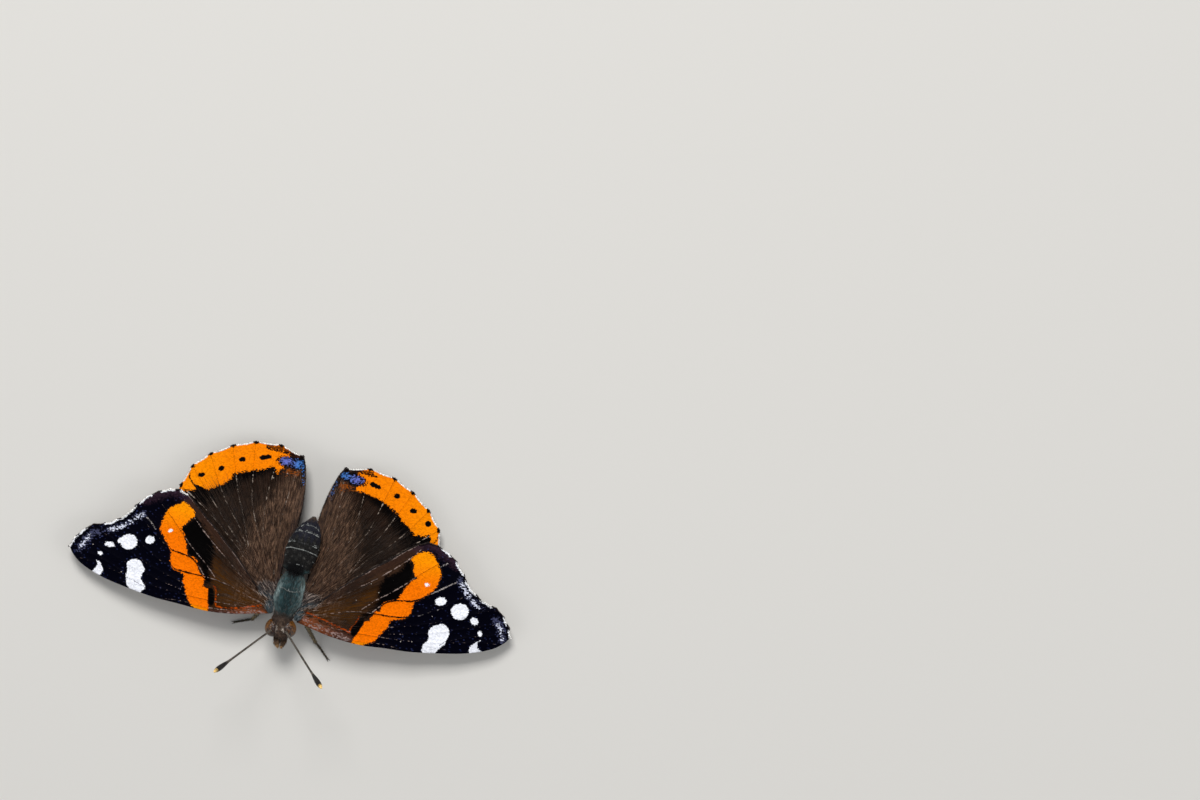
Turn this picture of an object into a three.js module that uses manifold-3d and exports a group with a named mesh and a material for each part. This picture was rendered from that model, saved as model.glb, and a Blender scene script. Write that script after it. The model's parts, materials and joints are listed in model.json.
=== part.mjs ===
// A red admiral butterfly, life size, basking on its feet with the wings spread flat.
// Millimetres: +X runs to the animal's left wing tip, -Y is ahead, +Z is up and the floor is z = 0.
import * as THREE from 'three';
import { mergeVertices } from 'three/addons/utils/BufferGeometryUtils.js';
import Module from 'manifold-3d';

const wasm = await Module();
wasm.setup();

// Driving dimensions of the body
const gap = 0.3; // left between neighbouring pieces
const thorax = { front: -3.3, back: 4.1, halfWidth: 2.2, halfHeight: 2.6, z: 5.2, shoulder: 0.07 };
const abdomen = {
  front: 3.4,
  back: 11.9,
  halfWidth: 2.4,
  halfHeight: 2.05,
  z: 5.5,
  tipDrop: 0.5,
  tipAside: 0.45,
  rings: 7,
  widestAt: 0.42,
};
const head = { aside: 0.12, y: -4.75, z: 5.2, yaw: 12, halfWidth: 1.55, halfLength: 1.7, halfHeight: 1.6 };
const eye = {
  aside: 1.1,
  behind: 0.1,
  halfWidth: 1.15,
  halfLength: 1.35,
  halfHeight: 1.4,
  inner: 0.85,
  splay: 14,
};
const palp = { root: [0.6, -1.15, -0.55], bow: [0.68, -2.15, -0.5], tip: [0.3, -3.15, -0.15] };
const proboscis = { y: -1.35, z: -1.95, inner: 0.32, outer: 0.95, turns: 1.55, startAngle: 97, thick: 0.21 };
const antenna = {
  socketZ: 5.9,
  tipZ: 14.4,
  sag: 0.5,
  right: { socket: [-0.64, -4.95], tip: [-6.6, -12.7] },
  left: { socket: [0.7, -4.75], tip: [8.8, -10.7] },
};

// Driving dimensions of the legs, from the hip to the toe
const legs = {
  mid_right: { hip: [-1, -0.7, 3.4], knee: [-3, -2.4, 3.7], ankle: [-4.5, -5.2, 0.75], toe: [-7, -6.4] },
  mid_left: { hip: [1, -0.7, 3.4], knee: [2.9, -3, 3.7], ankle: [5.3, -5.9, 0.75], toe: [7.6, -7.8] },
  hind_right: { hip: [-1, 1.4, 3.4], knee: [-3.4, 3, 3.5], ankle: [-5.2, 6.6, 0.75], toe: [-6.3, 9.3] },
  hind_left: { hip: [1, 1.4, 3.4], knee: [3.4, 3, 3.5], ankle: [5.2, 6.6, 0.75], toe: [6.3, 9.3] },
};
const foreleg = { hip: [0.75, -2.0, 3.0], knee: [0.95, -3.6, 2.75], end: [0.7, -5.0, 2.75] };
const foot = { z: 0.22, flat: 0.06 }; // the lowest 0.06 mm is pressed to a flat

// Driving dimensions of the wings
const wingThickness = 0.5;
const sheet = { z: 5.4, slope: 0.075, bow: 0.0012, tailFrom: 2, tailDroop: 0.005 };
const forewing = { base: [2.9, -2.4], sweep: { right: 0.4, left: 9.7 }, lift: 0.55, scallop: 0.12 };
const hindwing = { base: [2.5, 0.2], sweep: { right: -1.5, left: 1.5 }, lift: -0.55, scallop: 0.25 };
const vein = { shortStep: 0.8, longStep: 1.9, halfWidth: 0.36, above: 0.14, below: 0.06 };
const fill = { step: 2.2, clear: 1.15 };
const marginStep = 1.1;

const deg = THREE.MathUtils.degToRad;
const V3 = (x, y, z) => new THREE.Vector3(x, y, z);
const V2 = (x, y) => new THREE.Vector2(x, y);

// Each margin and vein of a wing is a spline through [u, v] points in the wing's own plane:
// u runs from the base towards the tip and v towards the tail.
forewing.margin = {
  costa: [
    [-0.6, -1.3], [1, -1.7], [4, -2.65], [8, -3.4], [12, -3.55], [16, -3.7],
    [20, -3.5], [24, -3.1], [27.4, -2.2], [29.4, -1.0], [30.3, 0.1],
  ],
  outer: [
    [30.3, 0.1], [29.9, 1.5], [28.9, 3.1], [27.6, 4.3], [26.0, 4.95], [24.6, 5.9], [23.4, 7.1],
    [22.5, 8.6], [21.2, 10.4], [19.8, 11.6], [18.2, 12.45], [16.7, 12.8], [15.4, 12.4],
  ],
  inner: [
    [15.4, 12.4], [13.4, 11.1], [11.6, 9.8], [9.6, 8.5], [7.7, 7.1], [5.9, 5.8],
    [3.5, 3.8], [1.4, 2.1], [-0.6, 1.2],
  ],
};
forewing.veins = {
  subcosta: [[-0.3, -0.85], [4, -1.9], [8, -2.6], [12, -2.8], [15.8, -3.5]],
  radius: [[-0.3, -0.4], [4, -1.1], [8, -1.55], [12, -1.8], [16, -1.9], [20, -1.7], [25, -1.2], [28.9, -1.1]],
  radius3: [[16, -1.9], [19.5, -2.45], [23.5, -3.0]],
  radius5: [[20, -1.7], [25, -0.3], [30.0, 0.35]],
  crossVein: [[12.5, -1.8], [12.4, -0.4], [12.2, 1.4]],
  media1: [[12.45, -1.2], [17, -0.7], [22, 0.35], [26, 1.3], [29.4, 2.1]],
  media2: [[12.4, -0.2], [17, 0.6], [22, 2.1], [25.5, 3.3], [28.0, 3.8]],
  cubitus: [
    [-0.3, 0.1], [3.4, 0.8], [6.1, 1.4], [8.2, 1.6], [10.3, 1.5], [13.8, 1.4],
    [17, 2.1], [20, 3.5], [24.0, 6.2],
  ],
  cubitus1: [[10.8, 1.5], [13, 3.1], [14.5, 3.9], [17.5, 5.4], [20.8, 7.2], [22.2, 8.6]],
  cubitus2: [[7.8, 1.6], [10, 3.4], [12, 4.7], [13.9, 6.1], [16.2, 8.0], [18.4, 9.6], [20.2, 11.1]],
  anal: [
    [-0.3, 0.5], [3.2, 2.3], [5.7, 3.9], [7.7, 5.2], [9.9, 6.6], [12, 8.1],
    [13.8, 9.5], [15.3, 10.9], [16.5, 12.5],
  ],
};
hindwing.margin = {
  costa: [[-0.6, -0.9], [2, -1.3], [5, -0.6], [9, 2.0], [13, 5.2], [15.8, 7.8], [17.0, 9.5], [17.3, 11.2]],
  outer: [[17.3, 11.2], [16.3, 14.4], [14.1, 16.85], [11.2, 18.85], [8.0, 20.2], [4.2, 20.65], [0.6, 19.85]],
  inner: [
    [0.6, 19.85], [-0.1, 18.4], [-0.6, 16.5], [-1.0, 14.5], [-1.25, 12.0], [-1.25, 9.0],
    [-1.0, 6.0], [-0.7, 3.4], [-0.6, 1.3],
  ],
};
hindwing.veins = {
  subcosta: [[-0.3, -0.4], [4, 0.5], [9, 3.4], [13.5, 6.7], [16.5, 9.2]],
  radius: [[-0.3, 0.1], [2.8, 1.5], [4.5, 3.0], [8, 5.6], [12, 8.4], [17.0, 11.2]],
  media1: [[4.5, 3.0], [8, 6.6], [12, 10.3], [16.1, 14.3]],
  media2: [[4.5, 3.0], [5.2, 4.8], [7.5, 8.0], [9.2, 9.7], [11.5, 12.7], [14.0, 16.7]],
  media3: [[5.0, 5.0], [7.2, 9.7], [8.6, 12.4], [11.1, 18.7]],
  cubitus1: [[-0.3, 0.6], [1.8, 2.8], [2.8, 5.0], [3.8, 6.6], [5.7, 10.3], [6.6, 12.9], [8.0, 20.0]],
  cubitus2: [[2.8, 5.0], [3.6, 8.0], [4.2, 11.5], [4.3, 15.0], [4.2, 20.5]],
  anal: [[0.3, 1.5], [1.1, 6.0], [1.4, 12.0], [0.8, 19.5]],
};

// Surface colours of the living animal
const finish = (color, roughness) => new THREE.MeshStandardMaterial({ color, roughness, metalness: 0 });
const looks = {
  forewing: finish('#2a1a14', 0.75),
  hindwing: finish('#4a3122', 0.75),
  thoraxFur: finish('#3f5053', 0.9),
  abdomenScales: finish('#2d2c2e', 0.85),
  headFur: finish('#4b3528', 0.85),
  eye: finish('#5a3a22', 0.3),
  horn: finish('#1c1815', 0.6),
  leg: finish('#6b5a3c', 0.65),
};

// A closed geometry as a solid whose faces point out
function solid(geometry) {
  const bare = geometry.clone();
  bare.deleteAttribute('normal');
  bare.deleteAttribute('uv');
  const merged = mergeVertices(bare, 1e-4);
  const triVerts = new Uint32Array(merged.index.array);
  const vertProperties = merged.attributes.position.array;
  const make = () => new wasm.Manifold(new wasm.Mesh({ numProp: 3, vertProperties, triVerts }));
  const made = make();
  if (made.volume() > 0) return made;
  for (let i = 0; i < triVerts.length; i += 3) {
    [triVerts[i + 1], triVerts[i + 2]] = [triVerts[i + 2], triVerts[i + 1]];
  }
  return make();
}

// Moves every vertex of a geometry by a function that changes the vector it is given
function reshape(geometry, change) {
  const position = geometry.attributes.position;
  const p = V3(0, 0, 0);
  for (let i = 0; i < position.count; i += 1) {
    p.fromBufferAttribute(position, i);
    change(p);
    position.setXYZ(i, p.x, p.y, p.z);
  }
  return geometry;
}

// An egg with its axis along Y, of the given half sizes; a power over 2 makes its ends blunter
function egg(sizes, grow, { power = 2, rows = 12, around = 20 } = {}) {
  const profile = [];
  for (let i = 0; i <= rows; i += 1) {
    const t = -Math.cos((Math.PI * i) / rows);
    const atEnd = i === 0 || i === rows;
    profile.push(V2(atEnd ? 0 : Math.sqrt(1 - Math.abs(t) ** power), t));
  }
  const geometry = new THREE.LatheGeometry(profile, around);
  return geometry.scale(sizes.halfWidth + grow, sizes.halfLength + grow, sizes.halfHeight + grow);
}

// A round limb along a curve, through rows of [share of the length, radius]
function limb(curve, rows, grow = 0, sides = 10) {
  const profile = rows.map(([share, radius]) => V2(radius + grow, share));
  profile.unshift(V2(0, rows[0][0]));
  profile.push(V2(0, rows.at(-1)[0]));
  const chord = curve.getPoint(1).sub(curve.getPoint(0));
  const aside = V3(0, 0, 0).crossVectors(chord, V3(0, 0, 1)).normalize();
  return reshape(new THREE.LatheGeometry(profile, sides), (p) => {
    const along = curve.getTangentAt(p.y);
    const side = aside.clone().addScaledVector(along, -aside.dot(along)).normalize();
    const up = V3(0, 0, 0).crossVectors(side, along);
    const { x, z } = p;
    p.copy(curve.getPointAt(p.y)).addScaledVector(side, x).addScaledVector(up, z);
  });
}

// Thorax: a blunt egg, widest at the shoulders where the forewings hinge
function thoraxSolid(grow = 0) {
  const { front, back, halfWidth, halfHeight, z, shoulder } = thorax;
  const halfLength = (back - front) / 2;
  const geometry = egg({ halfWidth, halfLength, halfHeight }, grow, { power: 2.7, rows: 14, around: 22 });
  reshape(geometry, (p) => {
    const t = p.y / halfLength;
    p.x *= 1 - 0.1 * t * t + shoulder * Math.exp(-(((t + 0.35) / 0.4) ** 2));
    p.z -= 0.25 * t * t;
  });
  return solid(geometry.translate(0, (front + back) / 2, z));
}

// Abdomen: each ring is a little wider at its rear edge, where it laps over the next
function abdomenSolid(grow = 0) {
  const { front, back, halfWidth, halfHeight, z, tipDrop, tipAside, rings, widestAt } = abdomen;
  const length = back - front;
  const profile = [V2(0, 0)];
  const swells = [[0.06, -0.05], [0.5, 0], [0.94, 0.03]];
  for (let ring = 0; ring < rings; ring += 1) {
    for (const [share, swell] of swells) {
      const t = (ring + share) / rings;
      const ahead = 0.74 + 0.26 * Math.sin((Math.PI / 2) * Math.min(1, t / widestAt));
      const behind = Math.sqrt(1 - (Math.max(0, t - widestAt) / (1 - widestAt)) ** 2);
      profile.push(V2(ahead * behind * (1 + swell), t));
    }
  }
  profile.push(V2(0, 1.01));
  const geometry = new THREE.LatheGeometry(profile, 22);
  geometry.scale(halfWidth + grow, length + grow, halfHeight + grow);
  reshape(geometry, (p) => {
    const t = p.y / length;
    p.set(p.x + tipAside * t * t, p.y + front, p.z + z - tipDrop * t * t);
  });
  return solid(geometry);
}

// The head and all that it carries are shaped in its own frame, then turned and set on the body
const headPlace = new THREE.Matrix4().makeRotationZ(deg(head.yaw)).setPosition(head.aside, head.y, head.z);
const onHead = (geometry) => solid(geometry.applyMatrix4(headPlace));

function headSolid(grow = 0) {
  const geometry = egg(head, grow, { power: 2.2 });
  return onHead(reshape(geometry, (p) => (p.x *= 1 - 0.12 * (p.y / head.halfLength))));
}

// An eye is the outer cap of an egg, flat where it sits on the side of the head
function eyeSolid(side, grow = 0) {
  const ball = egg(eye, grow);
  ball.rotateZ(deg(side * eye.splay));
  ball.translate(side * eye.aside, -eye.behind, 0);
  const reach = 4;
  const slab = new THREE.BoxGeometry(reach, 2 * reach, 2 * reach);
  slab.translate(side * (eye.inner - grow + reach / 2), 0, 0);
  return onHead(ball).intersect(onHead(slab));
}

// Palps: two fat cones that close in front of the face
function palpSolid(side) {
  const [root, bow, tip] = [palp.root, palp.bow, palp.tip].map(([x, y, z]) => V3(side * x, y, z));
  const rows = [[0, 0.36], [0.2, 0.46], [0.5, 0.5], [0.75, 0.38], [0.92, 0.22], [1, 0.08]];
  return onHead(limb(new THREE.QuadraticBezierCurve3(root, bow, tip), rows, 0, 12));
}

// Proboscis: coiled under the palps
function proboscisSolid() {
  const { y, z, inner, outer, turns, startAngle, thick } = proboscis;
  const points = Array.from({ length: 29 }, (_, i) => {
    const t = i / 28;
    const r = THREE.MathUtils.lerp(inner, outer, t);
    const a = deg(startAngle + 360 * turns * t);
    return V3(0, y + r * Math.cos(a), z + r * Math.sin(a));
  });
  const section = new THREE.Shape().absarc(0, 0, thick, 0, 2 * Math.PI);
  const extrudePath = new THREE.CatmullRomCurve3(points);
  const options = { extrudePath, steps: 30, curveSegments: 4, bevelEnabled: false };
  return onHead(new THREE.ExtrudeGeometry(section, options));
}

// Antennae: a thin shaft from a socket between the eyes, ending in a club
function antennaSolid(where) {
  const from = V3(...antenna[where].socket, antenna.socketZ);
  const to = V3(...antenna[where].tip, antenna.tipZ);
  const middle = from.clone().lerp(to, 0.5).add(V3(0, 0, antenna.sag));
  const shaft = [[0, 0.34], [0.04, 0.34], [0.07, 0.25], [0.25, 0.25], [0.5, 0.25], [0.7, 0.25]];
  const club = [[0.77, 0.29], [0.83, 0.38], [0.89, 0.45], [0.95, 0.45], [0.985, 0.33], [1, 0.14]];
  return solid(limb(new THREE.QuadraticBezierCurve3(from, middle, to), [...shaft, ...club]));
}

// Legs: the middle and hind pairs walk, the front pair is small and folded against the chest
const legRows = {
  femur: [[0, 0.4], [0.15, 0.48], [0.6, 0.42], [1, 0.28]],
  tibia: [[0, 0.27], [0.5, 0.3], [1, 0.26]],
  tarsus: [[0, 0.26], [0.2, 0.29], [0.4, 0.27], [0.6, 0.28], [0.8, 0.27], [1, 0.2]],
  foreleg: [[0, 0.3], [0.35, 0.42], [0.7, 0.38], [0.92, 0.26], [1, 0.12]],
};

function straightSegment(from, to, rows, grow = 0) {
  const a = V3(...from);
  const b = V3(...to);
  const along = b.clone().sub(a).normalize();
  a.addScaledVector(along, -grow);
  b.addScaledVector(along, grow);
  return solid(limb(new THREE.LineCurve3(a, b), rows, grow));
}

// The foot comes down from the shin and lies along the floor, on a flat
function tarsusSolid({ ankle, toe }) {
  const from = V3(...ankle);
  const to = V3(...toe, foot.z);
  const along = (share) => from.clone().lerp(to, share).setZ(foot.z);
  const curve = new THREE.CatmullRomCurve3([from, along(0.3), along(0.65), to]);
  const geometry = limb(curve, legRows.tarsus, 0, 12);
  return solid(reshape(geometry, (p) => (p.z = p.z < foot.flat ? 0 : p.z)));
}

function forelegSolid(side) {
  const points = [foreleg.hip, foreleg.knee, foreleg.end].map(([x, y, z]) => V3(side * x, y, z));
  return solid(limb(new THREE.QuadraticBezierCurve3(...points), legRows.foreleg));
}

// Wings
const spline = (pairs) => new THREE.SplineCurve(pairs.map(([u, v]) => V2(u, v)));
const spaced = (curve, step) => curve.getSpacedPoints(Math.max(2, Math.round(curve.getLength() / step)));
const nearest = (p, points) => points.reduce((least, q) => Math.min(least, p.distanceTo(q)), Infinity);

// The outer margin draws in a little between each two of its points
function scalloped(pairs, depth) {
  const curve = spline(pairs);
  const spans = pairs.length - 1;
  const perSpan = Math.max(2, Math.round(curve.getLength() / spans / marginStep));
  return Array.from({ length: spans * perSpan + 1 }, (_, i) => {
    const t = i / (spans * perSpan);
    const along = curve.getTangent(t);
    const draw = depth * Math.sin((Math.PI * (i % perSpan)) / perSpan);
    return curve.getPoint(t).add(V2(-along.y, along.x).multiplyScalar(draw));
  });
}

function marginRing({ margin, scallop }) {
  const costa = spaced(spline(margin.costa), marginStep);
  const inner = spaced(spline(margin.inner), marginStep);
  return [...costa.slice(0, -1), ...scalloped(margin.outer, scallop).slice(0, -1), ...inner];
}

function inside(p, ring) {
  let odd = false;
  ring.forEach((a, i) => {
    const b = ring[(i + ring.length - 1) % ring.length];
    const crosses = a.y > p.y !== b.y > p.y;
    if (crosses && p.x < ((b.x - a.x) * (p.y - a.y)) / (b.y - a.y) + a.x) odd = !odd;
  });
  return odd;
}

// Places along a vein, closer together where it runs near the margin or another vein
function veinStations(pairs, neighbours) {
  const curve = spline(pairs);
  const length = curve.getLength();
  const stations = [];
  for (let s = 0; s < length; ) {
    const crest = curve.getPointAt(s / length);
    stations.push({ crest, along: curve.getTangentAt(s / length) });
    s += THREE.MathUtils.clamp(nearest(crest, neighbours), vein.shortStep, vein.longStep);
  }
  return stations;
}

// The membrane's points: on its margin, along the crest and both feet of each vein, and between them
function wingPoints(ring, lines, veins) {
  const points = [...ring];
  const edge = spaced(new THREE.Path(ring), 0.1);
  const crests = lines.flat();
  const addClear = (p, ofPoints, ofEdge) => {
    const clear = nearest(p, points) > ofPoints && nearest(p, edge) > ofEdge;
    if (clear && inside(p, ring)) points.push(p);
  };
  const stations = Object.values(veins).flatMap((pairs, i) =>
    veinStations(pairs, [...edge, ...lines.filter((_, j) => j !== i).flat()]),
  );
  for (const { crest } of stations) addClear(crest, 0.45, 0.25);
  for (const { crest, along } of stations) {
    for (const side of [-1, 1]) {
      const across = V2(-along.y, along.x).multiplyScalar(side * vein.halfWidth);
      const place = crest.clone().add(across);
      if (nearest(place, crests) > vein.halfWidth * 0.9) addClear(place, 0.3, 0.2);
    }
  }
  const box = new THREE.Box2().setFromPoints(ring);
  for (let row = 0, v = box.min.y; v < box.max.y; row += 1, v += fill.step * 0.87) {
    for (let u = box.min.x + (row % 2) * (fill.step / 2); u < box.max.x; u += fill.step) {
      const p = V2(u, v);
      if (nearest(p, crests) > fill.clear) addClear(p, fill.clear, fill.clear);
    }
  }
  return points;
}

// Delaunay triangles: each point in turn replaces the triangles whose circle holds it
function triangulate(points) {
  const far = 1000;
  const all = [...points, V2(-far, -far), V2(far, -far), V2(0, far)];
  const withCircle = (a, b, c) => {
    const [A, B, C] = [all[a], all[b], all[c]];
    const d = 2 * (A.x * (B.y - C.y) + B.x * (C.y - A.y) + C.x * (A.y - B.y));
    const [aa, bb, cc] = [A.lengthSq(), B.lengthSq(), C.lengthSq()];
    const centre = V2(
      (aa * (B.y - C.y) + bb * (C.y - A.y) + cc * (A.y - B.y)) / d,
      (aa * (C.x - B.x) + bb * (A.x - C.x) + cc * (B.x - A.x)) / d,
    );
    return { corners: [a, b, c], centre, reach: centre.distanceToSquared(A) };
  };
  const n = points.length;
  let faces = [withCircle(n, n + 1, n + 2)];
  points.forEach((p, i) => {
    const rim = new Map();
    faces = faces.filter((face) => {
      if (face.centre.distanceToSquared(p) > face.reach) return true;
      face.corners.forEach((a, k) => toggleEdge(rim, a, face.corners[(k + 1) % 3]));
      return false;
    });
    for (const [a, b] of rim.values()) faces.push(withCircle(a, b, i));
  });
  return faces.map((face) => face.corners).filter((corners) => Math.max(...corners) < n);
}

// Keeps only the edges that one triangle has and no other runs back along
function toggleEdge(rim, a, b) {
  if (!rim.delete(`${b} ${a}`)) rim.set(`${a} ${b}`, [a, b]);
}

// The height of the sheet that both pairs of wings follow, falling away to the tips and the tail
function sheetHeight(x, y) {
  const aside = Math.abs(x);
  const behind = Math.max(0, y - sheet.tailFrom);
  return sheet.z - sheet.slope * aside - sheet.bow * aside ** 2 - sheet.tailDroop * behind ** 2;
}

// A wing: one membrane split alike on both faces, with its veins raised as ridges in it
function wingSolid(side, where, wing) {
  const ring = marginRing(wing);
  const lines = Object.values(wing.veins).map((pairs) => spaced(spline(pairs), 0.05));
  const points = wingPoints(ring, lines, wing.veins);
  points.forEach((p, i) => p.add(V2(Math.sin(i * 12.9), Math.sin(i * 78.2)).multiplyScalar(1e-3)));
  const crests = lines.flat();
  const ridge = points.map((p) => Math.max(0, 1 - nearest(p, crests) / vein.halfWidth));
  const faces = triangulate(points).filter(([a, b, c]) => {
    const middle = points[a].clone().add(points[b]).add(points[c]).divideScalar(3);
    return inside(middle, ring);
  });
  const place = (p, up) => {
    const spot = p.clone().rotateAround(V2(0, 0), deg(wing.sweep[where]));
    const [x, y] = [wing.base[0] + spot.x, wing.base[1] + spot.y];
    return [side * x, y, sheetHeight(x, y) + wing.lift + up];
  };
  const half = wingThickness / 2;
  const top = points.flatMap((p, i) => place(p, half + vein.above * ridge[i]));
  const bottom = points.flatMap((p, i) => place(p, -half - vein.below * ridge[i]));
  const n = points.length;
  const index = [];
  const rim = new Map();
  for (const [a, b, c] of faces) {
    index.push(a, b, c, n + a, n + c, n + b);
    toggleEdge(rim, a, b);
    toggleEdge(rim, b, c);
    toggleEdge(rim, c, a);
  }
  for (const [a, b] of rim.values()) index.push(a, n + a, n + b, a, n + b, b);
  const geometry = new THREE.BufferGeometry();
  geometry.setAttribute('position', new THREE.Float32BufferAttribute([...top, ...bottom], 3));
  geometry.setIndex(index);
  return solid(geometry);
}

// Assembly: a group stands at each joint of the body, and holds the pieces that grow from there
const butterfly = new THREE.Group();

function groupAt(x, y, z, turn = 0) {
  const group = new THREE.Group();
  group.position.set(x, y, z);
  group.rotation.z = deg(turn);
  butterfly.add(group);
  group.updateMatrixWorld();
  return group;
}

// Adds the largest closed surface of a solid, brought from the body's frame into the group's
function addPiece(group, name, material, made) {
  const [largest] = made.decompose().sort((a, b) => b.volume() - a.volume());
  const { vertProperties, triVerts } = largest.getMesh();
  const geometry = new THREE.BufferGeometry();
  geometry.setAttribute('position', new THREE.BufferAttribute(vertProperties, 3));
  geometry.setIndex(new THREE.BufferAttribute(triVerts, 1));
  geometry.applyMatrix4(group.matrixWorld.clone().invert());
  geometry.computeVertexNormals();
  const mesh = new THREE.Mesh(geometry, material);
  mesh.name = name;
  group.add(mesh);
}

const cut = (made, ...cutters) => cutters.reduce((left, cutter) => left.subtract(cutter), made);
const thoraxGrown = thoraxSolid(gap);
const abdomenGrown = abdomenSolid(gap);
const headGrown = headSolid(gap);
const eyesGrown = eyeSolid(-1, gap).add(eyeSolid(1, gap));

const trunk = groupAt(0, 0, thorax.z);
addPiece(trunk, 'thorax', looks.thoraxFur, thoraxSolid());
const tail = groupAt(0, abdomen.front, abdomen.z);
addPiece(tail, 'abdomen', looks.abdomenScales, cut(abdomenSolid(), thoraxGrown));

const face = groupAt(head.aside, head.y, head.z, head.yaw);
addPiece(face, 'head', looks.headFur, cut(headSolid(), thoraxGrown, eyesGrown));
addPiece(face, 'proboscis', looks.horn, cut(proboscisSolid(), headGrown));

for (const [side, where] of [[-1, 'right'], [1, 'left']]) {
  addPiece(face, `eye_${where}`, looks.eye, cut(eyeSolid(side), thoraxGrown));
  addPiece(face, `palp_${where}`, looks.headFur, cut(palpSolid(side), headGrown, eyesGrown));
  addPiece(face, `antenna_${where}`, looks.horn, cut(antennaSolid(where), headGrown, eyesGrown));

  const [x, y, z] = foreleg.hip;
  const chest = groupAt(side * x, y, z);
  addPiece(chest, `foreleg_${where}`, looks.leg, cut(forelegSolid(side), thoraxGrown, headGrown));

  const foreHinge = groupAt(side * forewing.base[0], forewing.base[1], sheet.z + forewing.lift);
  const fore = cut(wingSolid(side, where, forewing), thoraxGrown);
  addPiece(foreHinge, `forewing_${where}`, looks.forewing, fore);
  const hindHinge = groupAt(side * hindwing.base[0], hindwing.base[1], sheet.z + hindwing.lift);
  const hind = cut(wingSolid(side, where, hindwing), thoraxGrown, abdomenGrown);
  addPiece(hindHinge, `hindwing_${where}`, looks.hindwing, hind);

  for (const pair of ['mid', 'hind']) {
    const leg = legs[`${pair}_${where}`];
    const hip = groupAt(...leg.hip);
    const femur = cut(straightSegment(leg.hip, leg.knee, legRows.femur), thoraxGrown, abdomenGrown);
    const femurGrown = straightSegment(leg.hip, leg.knee, legRows.femur, gap);
    const tibia = cut(straightSegment(leg.knee, leg.ankle, legRows.tibia), femurGrown);
    const tibiaGrown = straightSegment(leg.knee, leg.ankle, legRows.tibia, gap);
    addPiece(hip, `femur_${pair}_${where}`, looks.leg, femur);
    addPiece(hip, `tibia_${pair}_${where}`, looks.leg, tibia);
    addPiece(hip, `tarsus_${pair}_${where}`, looks.leg, cut(tarsusSolid(leg), tibiaGrown));
  }
}

// The origin lies on the floor under the middle of the spread animal
const centre = new THREE.Box3().setFromObject(butterfly).getCenter(V3(0, 0, 0));
butterfly.position.set(-centre.x, -centre.y, 0);
export default butterfly;
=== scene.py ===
# The looks of a life-size red admiral butterfly that basks on its feet with the wings spread flat.
# Settings are in millimetres in the animal's own frame: +X to its left wing tip, -Y ahead, +Z up,
# and the floor at z = 0. Marks on the wings are in the photo's pixels, of its 1200 by 800.
import json
import math
from functools import partial
import bpy
import numpy as np
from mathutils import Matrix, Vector
from mathutils.geometry import delaunay_2d_cdt

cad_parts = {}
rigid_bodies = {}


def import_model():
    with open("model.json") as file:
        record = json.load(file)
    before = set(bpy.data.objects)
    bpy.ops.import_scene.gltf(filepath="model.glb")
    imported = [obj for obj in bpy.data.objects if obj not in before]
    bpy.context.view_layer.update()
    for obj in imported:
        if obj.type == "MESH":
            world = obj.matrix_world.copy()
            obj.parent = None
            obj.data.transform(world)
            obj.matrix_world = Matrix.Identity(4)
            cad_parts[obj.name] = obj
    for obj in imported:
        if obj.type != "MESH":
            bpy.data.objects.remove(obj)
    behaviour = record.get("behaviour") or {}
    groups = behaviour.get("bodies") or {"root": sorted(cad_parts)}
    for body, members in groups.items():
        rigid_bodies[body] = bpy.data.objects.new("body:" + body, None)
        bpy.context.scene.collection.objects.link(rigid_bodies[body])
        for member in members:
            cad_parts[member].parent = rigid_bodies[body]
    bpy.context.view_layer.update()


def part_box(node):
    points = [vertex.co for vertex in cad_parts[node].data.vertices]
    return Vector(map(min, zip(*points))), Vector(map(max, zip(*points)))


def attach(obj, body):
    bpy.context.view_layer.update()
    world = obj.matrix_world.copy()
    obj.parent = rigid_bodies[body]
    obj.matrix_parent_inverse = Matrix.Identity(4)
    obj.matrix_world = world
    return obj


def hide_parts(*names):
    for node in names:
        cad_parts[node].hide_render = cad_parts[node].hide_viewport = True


for leftover in list(bpy.data.objects):  # the cube, lamp and camera of a new file
    bpy.data.objects.remove(leftover)
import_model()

mm = 0.001
thoraxMiddle = 0.4  # the middle of the thorax along Y, in the animal's own frame
thoraxLow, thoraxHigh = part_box("thorax")
thoraxPlace = (thoraxLow + thoraxHigh) / 2
zero = np.array((thoraxPlace.x, thoraxPlace.y - thoraxMiddle * mm, 0))  # that frame's zero, in metres
sides = {"right": -1, "left": 1}  # the animal's own right is at the left of the photo


# Small tools

def linear(colour):  # a hex colour as the eye sees it, turned to linear light
    parts = [int(colour[i:i + 2], 16) / 255 for i in (1, 3, 5)]
    return [*(c / 12.92 if c <= 0.04045 else ((c + 0.055) / 1.055) ** 2.4 for c in parts), 1]


def addNode(tree, kind, sockets=(), **settings):  # a socket takes a value, another socket or a node
    node = tree.nodes.new(kind if "Node" in kind else "ShaderNode" + kind)
    for key, value in settings.items():
        setattr(node, key, value)
    for key, value in sockets.items() if isinstance(sockets, dict) else enumerate(sockets):
        if isinstance(value, bpy.types.Node):
            value = next(output for output in value.outputs if output.enabled)
        if isinstance(value, bpy.types.NodeSocket):
            tree.links.new(value, node.inputs[key])
        else:
            node.inputs[key].default_value = value
    return node


def toMetres(points):
    return np.asarray(points, float) * mm + zero


def softStep(low, high, values):
    t = np.clip((values - low) / (high - low), 0, 1)
    return t * t * (3 - 2 * t)


def turned(x, y, degrees):
    c, s = math.cos(math.radians(degrees)), math.sin(math.radians(degrees))
    return x * c - y * s, x * s + y * c


def unit(vectors):
    return vectors / np.linalg.norm(vectors, axis=1)[:, None]


def leftOf(directions):
    along = unit(directions)
    return np.column_stack((-along[:, 1], along[:, 0]))


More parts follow.
